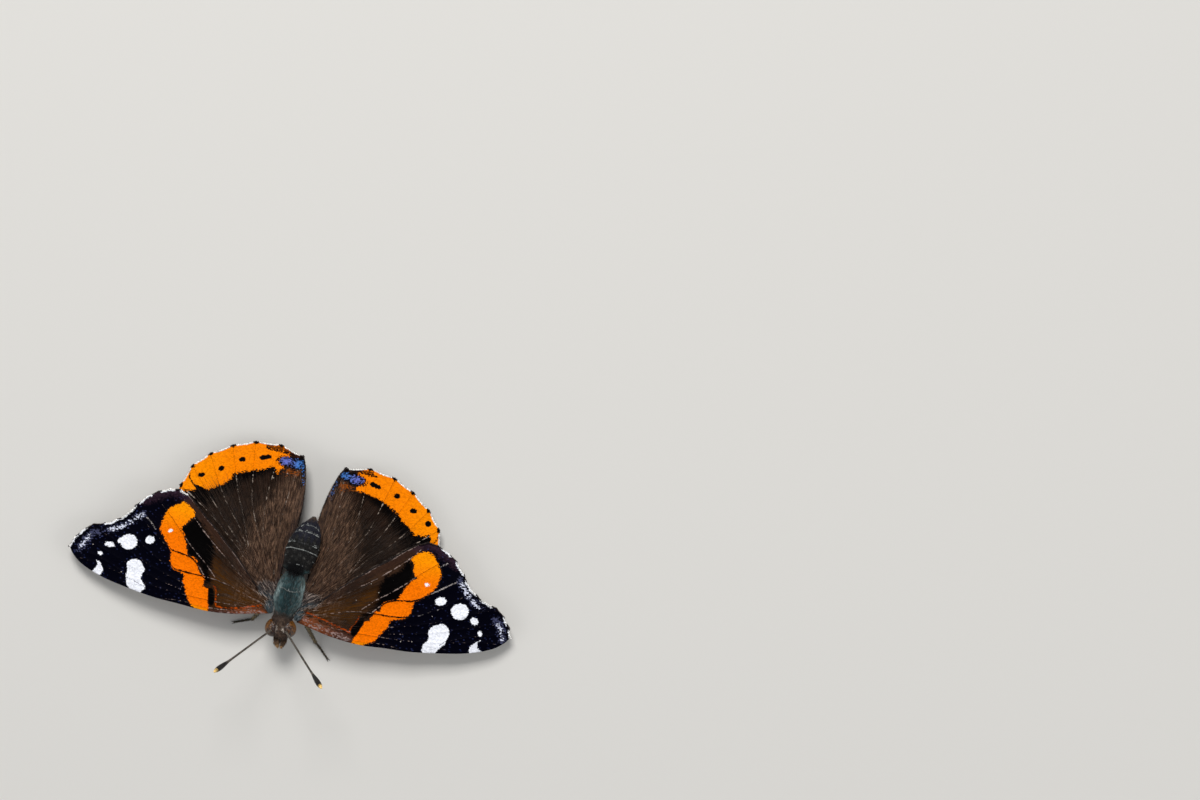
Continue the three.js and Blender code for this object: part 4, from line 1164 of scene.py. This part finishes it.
def placedLine(name, points, lie, values, unwrap):  # points that carry one tuft, scale or ring each
    up = np.tile((0.0, 0.0, 1.0), (len(points), 1))
    facing = up - lie * (np.sum(lie * up, axis=1) / np.sum(lie * lie, axis=1))[:, None]
    mesh = bpy.data.meshes.new(name + "Line")
    mesh.from_pydata([tuple(p) for p in toMetres(points)], [], [])
    unwrap = np.column_stack((unwrap, np.zeros(len(unwrap))))
    storeValues(mesh, {"lie": lie, "facing": facing, "skinUV": unwrap, **values})
    return mesh


def fringeGround(name, wing, where):
    draw = np.random.default_rng(len(name))
    outer = respaced(outerMargin(wing), fringe["spacing"])
    inner = respaced(curveThrough(wing["inner"]), fringe["innerSpacing"])
    line = np.vstack((outer, inner))
    out = -leftOf(np.vstack((np.gradient(outer, axis=0), np.gradient(inner, axis=0))))
    onInner = np.repeat((0.0, 1.0), (len(outer), len(inner)))
    spots = line - out * (fineWing["drawIn"] + fringe["overlap"])
    flat, there = onBody(spots, wing, where), onBody(spots + out, wing, where)
    lie = np.column_stack((there - flat, sheetHeight(there) - sheetHeight(flat)))
    z = sheetHeight(flat) + wing["lift"] - fineWing["pleat"] * softStep(0, 1.3, veinDistance(spots, wing))
    if wing is forewing:
        z += wing["nearLift"] * onInner
        pale = np.append(fringePale(outer, wing, where), -np.ones(len(inner)))
    else:
        fromTick = spotDistance(line, veinEnds(wing))
        pale = np.where((onInner == 0) & (fromTick > fringe["tickWidth"]), 1.0, -1.0)
    z = np.minimum(z, belowAbdomen(flat)) + draw.uniform(-fringe["scatter"], fringe["scatter"], len(z))
    values = {"hairLength": np.where(onInner > 0, fringe["innerLength"], fringe["length"]), "pale": pale}
    unwrap = (spots - spots.min(axis=0)) / fineWing["unwrapSize"] + 0.02
    return placedLine(name, np.column_stack((flat, z)), lie, values, unwrap)


print("wings")
finishes = {"forewing": [newFinish("forewingUpperScales", wingScales, foreUpper),
                         newFinish("forewingUnderScales", wingScales, foreUnder)],
            "hindwing": [newFinish("hindwingUpperScales", wingScales, hindUpper),
                         newFinish("hindwingUnderScales", wingScales, hindUnder)]}
silkHair = newFinish("silkyWingHair", coat, silkLook, 0.5, 0.42)
fringeScales = newFinish("fringeScales", coat, fringeLook, 0.1, 0.6)
for kind, wing in wings.items():
    for where in sides:
        piece = wingPiece(kind + where.title(), wing["form"], where, wing["values"], finishes[kind])
        settle(piece, kind + "_scales", f"{kind}_{where}")
        grow(kind + "Hair" + where.title(), piece.data, wing["hair"], silkHair, kind + "_scales")
        name = kind + "Fringe" + where.title()
        grow(name, fringeGround(name, wing["form"], where), fringe["scales"], fringeScales, kind + "_scales")

print("body")
bodyFur = newFinish("bodyFur", coat, bodyLook, 0.3, 0.5)
skinShape = bodySkin()
skinValues = bodyValues(skinShape["points"])
skin = makePiece("bodySkin", skinShape, [newFinish("bodyScales", coat, bodyLook)], skinValues)
settle(skin, "thorax_fur", "thorax", "abdomen", "head")
coats = {  # the range of y that each covers, its slot and its tufts
    "headFur": [(-9, -3.1), "head_fur", ("fur", 60, 1.0, 0.7, 0.5, 0.45, 0.4, 21)],
    "thoraxFur": [(-3.1, 3.9), "thorax_fur", ("fur", 26, 1.0, 1.0, 0.55, 0.2, 0.28, 21)],
    "abdomenScales": [(3.9, 12), "abdomen_scales", ("scale", 38, 1.0, 0.8, 0.6, 0.13, 0.3, 21)],
}
y = skinShape["points"][:, 1]
for name, ((start, end), slotName, terms) in coats.items():
    covered = softStep(start - 0.15, start + 0.15, y) * softStep(end + 0.15, end - 0.15, y)
    share = (covered * skinValues["hairShare"]).astype(np.float32)
    skin.data.attributes["hairShare"].data.foreach_set("value", share)
    grow(name, skin.data, terms, bodyFur, slotName)


# Pale rows: the seam of hair across the chest and the scales along the hind edge of each ring
paleRows = {
    "look": {"ground": ("#7f827f", "#bbbeba")},
    "scales": ("scale", 0, 1.0, 0.7, 0.7, 0.0, 0.25, 13), "spacing": 0.075, "seamSpacing": 0.08,
    "seamWidth": 0.5, "seamLength": 0.22, "length": 0.16, "lie": (0.3, 0.6, -0.1),
    "seam": [[(-1.4, 0.95), (-0.75, 0.98), (-0.2, 0.78), (-0.1, 1.02)],
             [(-0.1, 1.02), (0.1, 0.8), (0.7, 0.84), (1.4, 1.05)]],
    # y of each row: width of its scales, share kept, half the bare middle and share of the half width
    "rings": {4.75: (0.9, 0.28, 0, 0.45), 5.9: (0.5, 0.25, 0.5, 1), 6.98: (1.15, 0.97, 0, 1),
              7.95: (0.9, 0.5, 0.45, 1), 8.2: (0.7, 0.25, 0.5, 1), 9.6: (0.9, 0.7, 0, 1),
              9.8: (0.6, 0.3, 0, 1), 10.6: (0.9, 0.6, 0, 1), 10.8: (0.6, 0.25, 0, 1)},
    "arch": 0.5, "lift": 0.02,
}


def bodyTop(x, y):  # points on the body's upper side, just above its coat
    wide, high, aside, z = bodySection(y)
    share = np.clip((x - aside) / wide, -1, 1)
    return np.column_stack((x, y, z + high * np.sqrt(1 - share ** 2) + paleRows["lift"]))


def makePaleRows():
    draw = np.random.default_rng(8)
    lines, lies, wides, lengths = [], [], [], []
    for knots in paleRows["seam"]:
        lines.append(bodyTop(*respaced(curveThrough(knots), paleRows["seamSpacing"]).T))
        lies.append(np.gradient(lines[-1], axis=0))
        wides += [paleRows["seamWidth"]] * len(lines[-1])
        lengths += [paleRows["seamLength"]] * len(lines[-1])
    for y, (width, kept, bare, reach) in paleRows["rings"].items():
        wide, _, aside, _ = bodySection(np.array([y]))
        t = np.arange(-reach, reach, paleRows["spacing"] / wide[0])
        patchy = kept + 0.3 * np.sin(11 * t + 4 * y) * (kept < 0.9)
        t = t[(draw.random(len(t)) < patchy) & (np.abs(t) > bare)]
        arched = y - paleRows["arch"] * t * t + 0.02 * np.sin(9 * t)
        lines.append(bodyTop(aside + wide * np.sin(t * 1.35), arched))
        lies.append(np.tile(paleRows["lie"], (len(t), 1)))
        wides += [width] * len(t)
        lengths += [paleRows["length"]] * len(t)
    points = np.vstack(lines)
    values = {"hairLength": np.array(lengths), "hairWidth": np.array(wides)}
    ground = placedLine("paleRows", points, np.vstack(lies), values, points[:, :2] / 40 + 0.5)
    grow("paleRows", ground, paleRows["scales"], newFinish("paleScales", coat, paleRows["look"], 0.2, 0.5),
         "thorax_fur")


def onHeadFrame(points):
    a = body["head"]
    x, y, z = np.atleast_2d(points).astype(float).T
    x, y = turned(x, y, a["yaw"])
    return np.column_stack((x + a["aside"], y + a["y"], z + a["z"]))


# Eyes: a horny skin of tiny lenses. Real ones are 0.025 mm wide; these are 0.1 mm wide, so that they show.
eyes = {"middle": (1.1, -0.1, 0), "half": (1.15, 1.35, 1.4), "splay": 14,
        "inputs": {"Fineness": "Int", "Dome": "Float", "Lens top": "Float", "Finish": "Material"},
        "lenses": {"Fineness": 5, "Dome": 0.012, "Lens top": 0.7},
        "layers": [("amber", "#50300f", 0.3, 4.2, 0.85), ("amberRim", "#855521", 0.25, 4.2, 0.75)]}


# Polished horn, nearly black above and amber at its outer side, with a wet gleam
def eyeHorn(node):
    place = ownFrame(node)
    clouds = node("TexNoise", {"Vector": place, "Scale": 3.0, "Detail": 4, "Roughness": 0.6,
                               "Distortion": 0.8})
    tear = node("Math", (clouds, 0.5), operation="SUBTRACT")
    colour = node("Mix", {0: clouds, 6: linear("#080302"), 7: linear("#3a1f10")}, data_type="RGBA")
    grain = node("TexVoronoi", {"Vector": place, "Scale": 14})
    bump = node("Bump", {"Height": grain, "Strength": 0.15, "Distance": 0.01 * mm})
    return {"Base Color": addLayers(node, colour, tear, eyes["layers"]), "Normal": bump, "Roughness": 0.2,
            "Specular IOR Level": 0.35, "Coat Weight": 0.3, "Coat Roughness": 0.05, "IOR": 1.5}


def makeEyes():
    tree, node, given = newTree("lensedEye", eyes["inputs"])
    ball = node("GeometryNodeMeshIcoSphere", {"Radius": 1.0, "Subdivisions": given["Fineness"]})
    cells = node("GeometryNodeDualMesh", {"Mesh": ball})
    lenses = node("GeometryNodeExtrudeMesh",
                  {"Mesh": cells, "Offset Scale": given["Dome"], "Individual": True}, mode="FACES")
    domed = node("GeometryNodeScaleElements", {"Geometry": lenses, "Selection": lenses.outputs["Top"],
                                               "Scale": given["Lens top"]}, domain="FACE")
    real = node("GeometryNodeRealizeInstances", [domed])
    painted = node("GeometryNodeSetMaterial", {"Geometry": real, "Material": given["Finish"]})
    node("NodeGroupOutput", [painted])
    values = {**eyes["lenses"], "Finish": newFinish("eyeHorn", eyeHorn)}
    for where, side in sides.items():
        mesh = plainMesh("eye" + where.title(), bpy.data.meshes.new("eyeHolder"), tree, values)
        points = pointsOf(mesh)
        storeValues(mesh, {"amber": side * points[:, 0] - 0.2, "amberRim": side * points[:, 0] - 0.75})
        x, y, z = (points * eyes["half"]).T
        x, y = turned(x, y, eyes["splay"] * side)
        a, b, h = eyes["middle"]
        placed = onHeadFrame(np.column_stack((side * a + x, b + y, h + z)))
        mesh.vertices.foreach_set("co", toMetres(placed).ravel())
        settle(linked(mesh.name, mesh), "eye", "eye_" + where)


# Feelers: rings of dark horn with fine scales, a pale line at each joint, and a club with a pale tip
feelers = {
    "tips": {"right": (-6.6, -12.7, 14.4), "left": (8.8, -10.7, 14.4)}, "rootHeight": 5.9, "sag": 0.5,
    "ring": 0.21, "ringOverlap": 1.06, "rings": ("bead", 0, 1.0, 1.0, 1.0, 0.0, 0.0, 1),
    "club": 0.81, "paleTip": 0.965,
    "radii": [(0, 0.3), (0.02, 0.3), (0.035, 0.17), (0.3, 0.15), (0.72, 0.16), (0.78, 0.2), (0.84, 0.31),
              (0.89, 0.39), (0.94, 0.4), (0.975, 0.31), (1, 0.16)],
    "look": {"ground": ("#0b0807", "#2a211c"),
             "layers": [("joint", "#9c907f", 0.3, 0.2, 0.85), ("club", "#120d0a", 0.02, 0, 1),
                        ("tipPale", "#dcb86f", 0.012, 0, 1)]},
}


def makeFeelers(finish):
    for where, tip in feelers["tips"].items():
        name = "feeler" + where.title()
        root = (*body["sockets"][where], feelers["rootHeight"])
        middle = (np.array(root) + tip) / 2 + (0, 0, feelers["sag"])
        path = respaced(bow(root, middle, tip, 80), feelers["ring"])[:-1]
        lie = np.gradient(path, axis=0)
        share = np.linspace(0, 1, len(path))
        values = {"hairLength": np.linalg.norm(lie, axis=1) * feelers["ringOverlap"],
                  "hairWidth": radiiAlong(path, feelers["radii"]), "tipPale": share - feelers["paleTip"],
                  "club": share - feelers["club"]}
        ground = placedLine(name, path, lie, values, np.column_stack((share, share)))
        grow(name, ground, feelers["rings"], finish, "antenna", "antenna_" + where)


# Tongue: a coiled double pipe of thin horn, ringed every 0.09 mm
tongue = {"y": -1.35, "z": -1.95, "inner": 0.32, "outer": 0.93, "turns": 1.55, "start": 97, "radius": 0.17,
          "rows": 150, "halfGap": 0.045}


def makeTongue(finish):
    t = np.linspace(0, 1, tongue["rows"])
    reach = tongue["inner"] + (tongue["outer"] - tongue["inner"]) * t
    turn = np.radians(tongue["start"] + 360 * tongue["turns"] * t)
    path = np.column_stack((0 * t, tongue["y"] + reach * np.cos(turn), tongue["z"] + reach * np.sin(turn)))
    radii = tongue["radius"] * (0.55 + 0.45 * softStep(0, 0.35, t)) * (1 + 0.07 * (np.arange(len(t)) % 2))
    shape = joined([tube(path + (side * tongue["halfGap"], 0, 0), radii, 10) for side in (-1, 1)])
    shape["points"] = onHeadFrame(shape["points"])
    plain = -np.ones(len(shape["points"]))
    settle(makePiece("tongue", shape, [finish], {"joint": plain, "club": plain, "tipPale": plain}),
           "antenna", "proboscis")


# Palps: two brushes of stiff hair beneath the face, tan at their tips
palps = {"path": [(0.55, -1.15, -0.55), (0.6, -2.1, -0.5), (0.24, -2.9, -0.2)],
         "radii": [(0, 0.26), (0.2, 0.34), (0.5, 0.36), (0.75, 0.27), (0.92, 0.15), (1, 0.05)],
         "bristles": ("fur", 75, 1.0, 0.8, 0.5, 0.42, 0.4, 31),
         "look": {"ground": ("#2c2019", "#6d5642"), "layers": [("tan", "#b08a5c", 0.3, 0.5, 0.85)]}}


def makePalps(finish):
    shapes, lies = [], []
    for side in (-1, 1):
        path = onHeadFrame(bow(*(np.array(knot) * (side, 1, 1) for knot in palps["path"]), 30))
        strip = (0.25 + 0.25 * side, 0.45 + 0.25 * side)
        shapes.append(tube(path, radiiAlong(path, palps["radii"]), 16, strip))
        lies.append(np.tile(path[-1] - path[10], (len(shapes[-1]["points"]), 1)))
    shape = joined(shapes)
    y = shape["points"][:, 1]
    skin = makePiece("palps", shape, [finish], {"lie": np.vstack(lies), "hairShare": np.ones(len(y)),
                     "tan": -y - 7.3, "hairLength": 0.75 - 0.25 * softStep(-7, -7.6, y)})
    settle(skin, "head_fur", "palp_left", "palp_right")
    grow("palpBristles", skin.data, palps["bristles"], finish, "head_fur")


# Legs: horn under flat olive-brown scales, with short spines and two claws on each foot
legs = {
    "mid": {"right": [(-1, -0.7, 3.4), (-3, -2.4, 3.7), (-4.5, -5.2, 0.75), (-7, -6.4, 0.2)],
            "left": [(1, -0.7, 3.4), (2.9, -3, 3.7), (5.3, -5.9, 0.75), (7.6, -7.8, 0.2)]},
    "hind": {"right": [(-1, 1.4, 3.4), (-3.4, 3, 3.5), (-5.2, 6.6, 0.75), (-6.3, 9.3, 0.2)],
             "left": [(1, 1.4, 3.4), (3.4, 3, 3.5), (5.2, 6.6, 0.75), (6.3, 9.3, 0.2)]},
    "femur": [(0, 0.36), (0.3, 0.46), (0.7, 0.38), (1, 0.25)],
    "tibia": [(0, 0.22), (0.12, 0.25), (0.5, 0.27), (0.9, 0.22), (1, 0.25)],
    "footRadius": 0.17, "footParts": (0, 0.42, 0.62, 0.76, 0.88, 1.0), "claw": 0.42, "kneeRadius": 0.27,
    "spines": ("spine", 22, 1.0, 0.9, 0.5, 0.55, 0.15, 41),
    "look": {"ground": ("#594830", "#ae9b70"), "layers": [("under", "#4b3e2b", 0.5, 0.5, 0.5),
                                                          ("darkJoint", "#17100b", 0.1, 0.2, 0.85)]},
    "spineLook": {"ground": ("#15100b", "#4a3a26")},
}


def legParts(hip, knee, ankle, toe):  # each with the way its spines lie, their length and how dark it is
    thigh = bow(hip, (hip + knee) / 2 + (0, 0, 0.12), knee, 20)
    shin = bow(knee, (knee + ankle) / 2 + (0, 0, 0.15), ankle, 24)
    step = toe - ankle
    foot = curveThrough([ankle, ankle + step * (0.3, 0.3, 0.96), ankle + step * (0.65, 0.65, 1), toe], 20)
    share = np.linspace(0, 1, len(foot))
    parts = np.array(legs["footParts"])
    i = np.clip(np.searchsorted(parts, share, "right") - 1, 0, len(parts) - 2)
    within = (share - parts[i]) / (parts[i + 1] - parts[i])
    footRadii = legs["footRadius"] * (0.8 + 0.35 * within ** 2) * (1 - 0.2 * share)
    footRadii[-1] *= 0.6
    found = [(tube(thigh, radiiAlong(thigh, legs["femur"]), 14, (0, 0.3)), knee - hip, 0.28, -1),
             (tube(shin, radiiAlong(shin, legs["tibia"]), 12, (0.33, 0.6)), ankle - knee, 0.5, -1),
             (tube(foot, footRadii, 12, (0.63, 0.9)), step, 0.3, 0.12),
             (egg(knee, [legs["kneeRadius"]] * 3, 0, 8, 12), ankle - knee, 0.2, -1)]
    ahead = (toe - foot[-8]) / np.linalg.norm(toe - foot[-8])
    aside = np.array((-ahead[1], ahead[0], 0))
    for turn in (-1, 1):
        root = toe + aside * turn * 0.06
        claw = bow(root, root + ahead * 0.3 + aside * turn * 0.14 + (0, 0, 0.08),
                   root + ahead * legs["claw"] + aside * turn * 0.1 - (0, 0, 0.14), 10)
        found.append((tube(claw, np.linspace(0.06, 0.012, 10), 8, (0.93, 0.97)), step, 0.02, 1))
    return zip(*found)


def makeLegs(finish, spineFinish):
    for pair in ("mid", "hind"):
        for where, knots in legs[pair].items():
            shapes, lies, lengths, joints = legParts(*np.array(knots, float))
            shape = joined(shapes)
            counts = [len(part["points"]) for part in shapes]
            z = shape["points"][:, 2]
            np.maximum(z, 0, out=z)
            values = {"lie": np.repeat(lies, counts, axis=0), "hairLength": np.repeat(lengths, counts),
                      "hairShare": (np.repeat(lengths, counts) > 0.1) * 1.0,
                      "darkJoint": np.repeat(joints, counts) * 1.0, "under": 0.5 - z}
            piece = makePiece("leg" + pair.title() + where.title(), shape, [finish], values)
            settle(piece, "leg", *(f"{part}_{pair}_{where}" for part in ("femur", "tibia", "tarsus")))
            grow(piece.name + "Spines", piece.data, legs["spines"], spineFinish, "leg")


# Forelegs: too short to walk on, folded under the head as two brushes of long hair
foreleg = {"hip": (0.75, -2.0, 3.0), "knee": (0.95, -3.6, 2.75), "end": (0.7, -4.85, 2.75),
           "radii": [(0, 0.2), (0.2, 0.3), (0.5, 0.27), (0.8, 0.18), (1, 0.07)],
           "brush": ("fur", 60, 1.0, 0.6, 0.5, 0.3, 0.3, 51), "look": {"ground": ("#2b2018", "#7d6a56")}}


def makeForelegs(finish):
    for where, side in sides.items():
        hip, knee, end = (np.array(foreleg[key]) * (side, 1, 1) for key in ("hip", "knee", "end"))
        path = respaced(np.vstack((bow(hip, hip, knee, 12)[:-1], bow(knee, knee, end, 10))), 0.12)
        shape = tube(path, radiiAlong(path, foreleg["radii"]), 12)
        count = len(shape["points"])
        values = {"lie": np.tile(path[-1] - path[0], (count, 1)), "hairShare": np.ones(count),
                  "hairLength": np.full(count, 0.75)}
        piece = makePiece("foreleg" + where.title(), shape, [finish], values)
        settle(piece, "leg", "foreleg_" + where)
        grow(piece.name + "Brush", piece.data, foreleg["brush"], finish, "leg")


# Shoulders: the flap over each forewing's root, the soft skin that joins the wings to the chest and a
# cushion between the two wings, all with blue-grey fur and a few long pale hairs
shoulders = {
    "flap": {"middle": (2.1, -2.45, 5.95), "half": (0.5, 0.8, 0.3), "turn": -16},
    "skin": {"middle": (2.0, -0.75, 5.35), "half": (0.55, 1.8, 0.45), "turn": 3},
    "cushion": {"middle": (3.1, -0.6, 5.05), "half": (1.6, 1.65, 0.46), "turn": 4},
}
shoulderCoat = {
    "fur": ("fur", 34, 1.0, 0.9, 0.5, 0.16, 0.3, 61), "paleHair": ("silk", 6, 1.9, 1.3, 0.5, 0.2, 0.28, 71),
    "look": {"ground": ("#1f2529", "#5b676b"), "layers": [("brownSide", "#3a2b25", 0.5, 0.5, 0.85)]},
    "paleLook": {"ground": ("#7d6c62", "#c4b1a4")}, "length": 0.95,
}


def makeShoulders(finish, paleFinish):
    for where, side in sides.items():
        shapes = [egg(np.array(part["middle"]) * (side, 1, 1), part["half"], part["turn"] * side, 18, 26)
                  for part in shoulders.values()]
        for k, shape in enumerate(shapes):
            shape["corners"] = [tuple((u * 0.31 + 0.33 * k, v) for u, v in corner)
                                for corner in shape["corners"]]
        onCushion = np.repeat((0, 0, 1), [len(shape["points"]) for shape in shapes])
        shape = joined(shapes)
        x, y, z = shape["points"].T
        share = np.where(onCushion, softStep(4.7, 4.9, z) * softStep(-1.9, -1.2, y),
                         softStep(-0.6, 0.1, np.abs(x) - 1.9) * softStep(4.9, 5.4, z))
        values = {"lie": np.tile((side * 0.9, 0.75, -0.05), (len(x), 1)), "hairShare": share,
                  "hairLength": shoulderCoat["length"] + 0 * x, "brownSide": y + 0.6}
        piece = makePiece("shoulder" + where.title(), shape, [finish], values)
        settle(piece, "thorax_fur")
        grow(piece.name + "Fur", piece.data, shoulderCoat["fur"], finish, "thorax_fur")
        grow(piece.name + "PaleHair", piece.data, shoulderCoat["paleHair"], paleFinish, "thorax_fur")


makePaleRows()
print("head, feelers and legs")
makeEyes()
horn = newFinish("scaledHorn", coat, feelers["look"], 0.12, 0.42, 0.35)
makeFeelers(horn)
makeTongue(horn)
makePalps(newFinish("palpBristle", coat, palps["look"], 0.2, 0.55))
makeLegs(newFinish("legScales", coat, legs["look"], 0.12, 0.45, 0.3),
         newFinish("legSpines", coat, legs["spineLook"], 0.3, 0.4, 0.3))
makeForelegs(newFinish("brushHair", coat, foreleg["look"], 0.3, 0.5))
makeShoulders(newFinish("shoulderFur", coat, shoulderCoat["look"], 0.3, 0.5),
              newFinish("paleHair", coat, shoulderCoat["paleLook"], 0.4, 0.45))

# Stage, light and camera. The floor is matt painted board, which shows the soft shadow and nothing else.
half = 1500
floorShape = {"points": np.array([(-half, -half, 0), (half, -half, 0), (half, half, 0), (-half, half, 0)]),
              "faces": [(0, 1, 2, 3)], "corners": [[(0, 0), (1, 0), (1, 1), (0, 1)]]}
paint = {"Roughness": 0.8, "Base Color": linear("#d9d6d0")}
floor = makePiece("floor", floorShape, [newFinish("paleFloor", lambda node: paint)], {})

world = bpy.data.worlds.new("softRoom")
bpy.context.scene.world = world
world.use_nodes = True
world.node_tree.nodes["Background"].inputs[0].default_value = linear("#e6ebf2")
world.node_tree.nodes["Background"].inputs[1].default_value = 0.32

lamps = {  # place, size in millimetres and power in watts
    "keySoftbox": [(-150, 420, 620), 300, 4.3], "fillSoftbox": [(-420, -360, 420), 500, 0.7],
    "rimSoftbox": [(480, -60, 300), 300, 0.6],
}
for name, (place, size, power) in lamps.items():
    light = bpy.data.lights.new(name, "AREA")
    light.size = size * mm
    light.energy = power
    lamp = linked(name, light)
    lamp.location = toMetres(place)
    lamp.rotation_euler = Vector(-np.array(place, float)).to_track_quat("-Z", "Y").to_euler()

view = {"middle": (35.47, 39.57), "height": 487.5, "lens": 100, "sensor": 36}
camera = linked("camera", bpy.data.cameras.new("camera"))
camera.data.lens = view["lens"]
camera.data.sensor_width = view["sensor"]
camera.data.clip_start = 0.01
camera.location = toMetres((*view["middle"], view["height"]))
camera.rotation_euler = (0, 0, math.radians(photo["turn"]))
bpy.context.scene.camera = camera
bpy.context.scene.view_settings.view_transform = "Standard"

for spare in stock.values():
    bpy.data.objects.remove(spare)
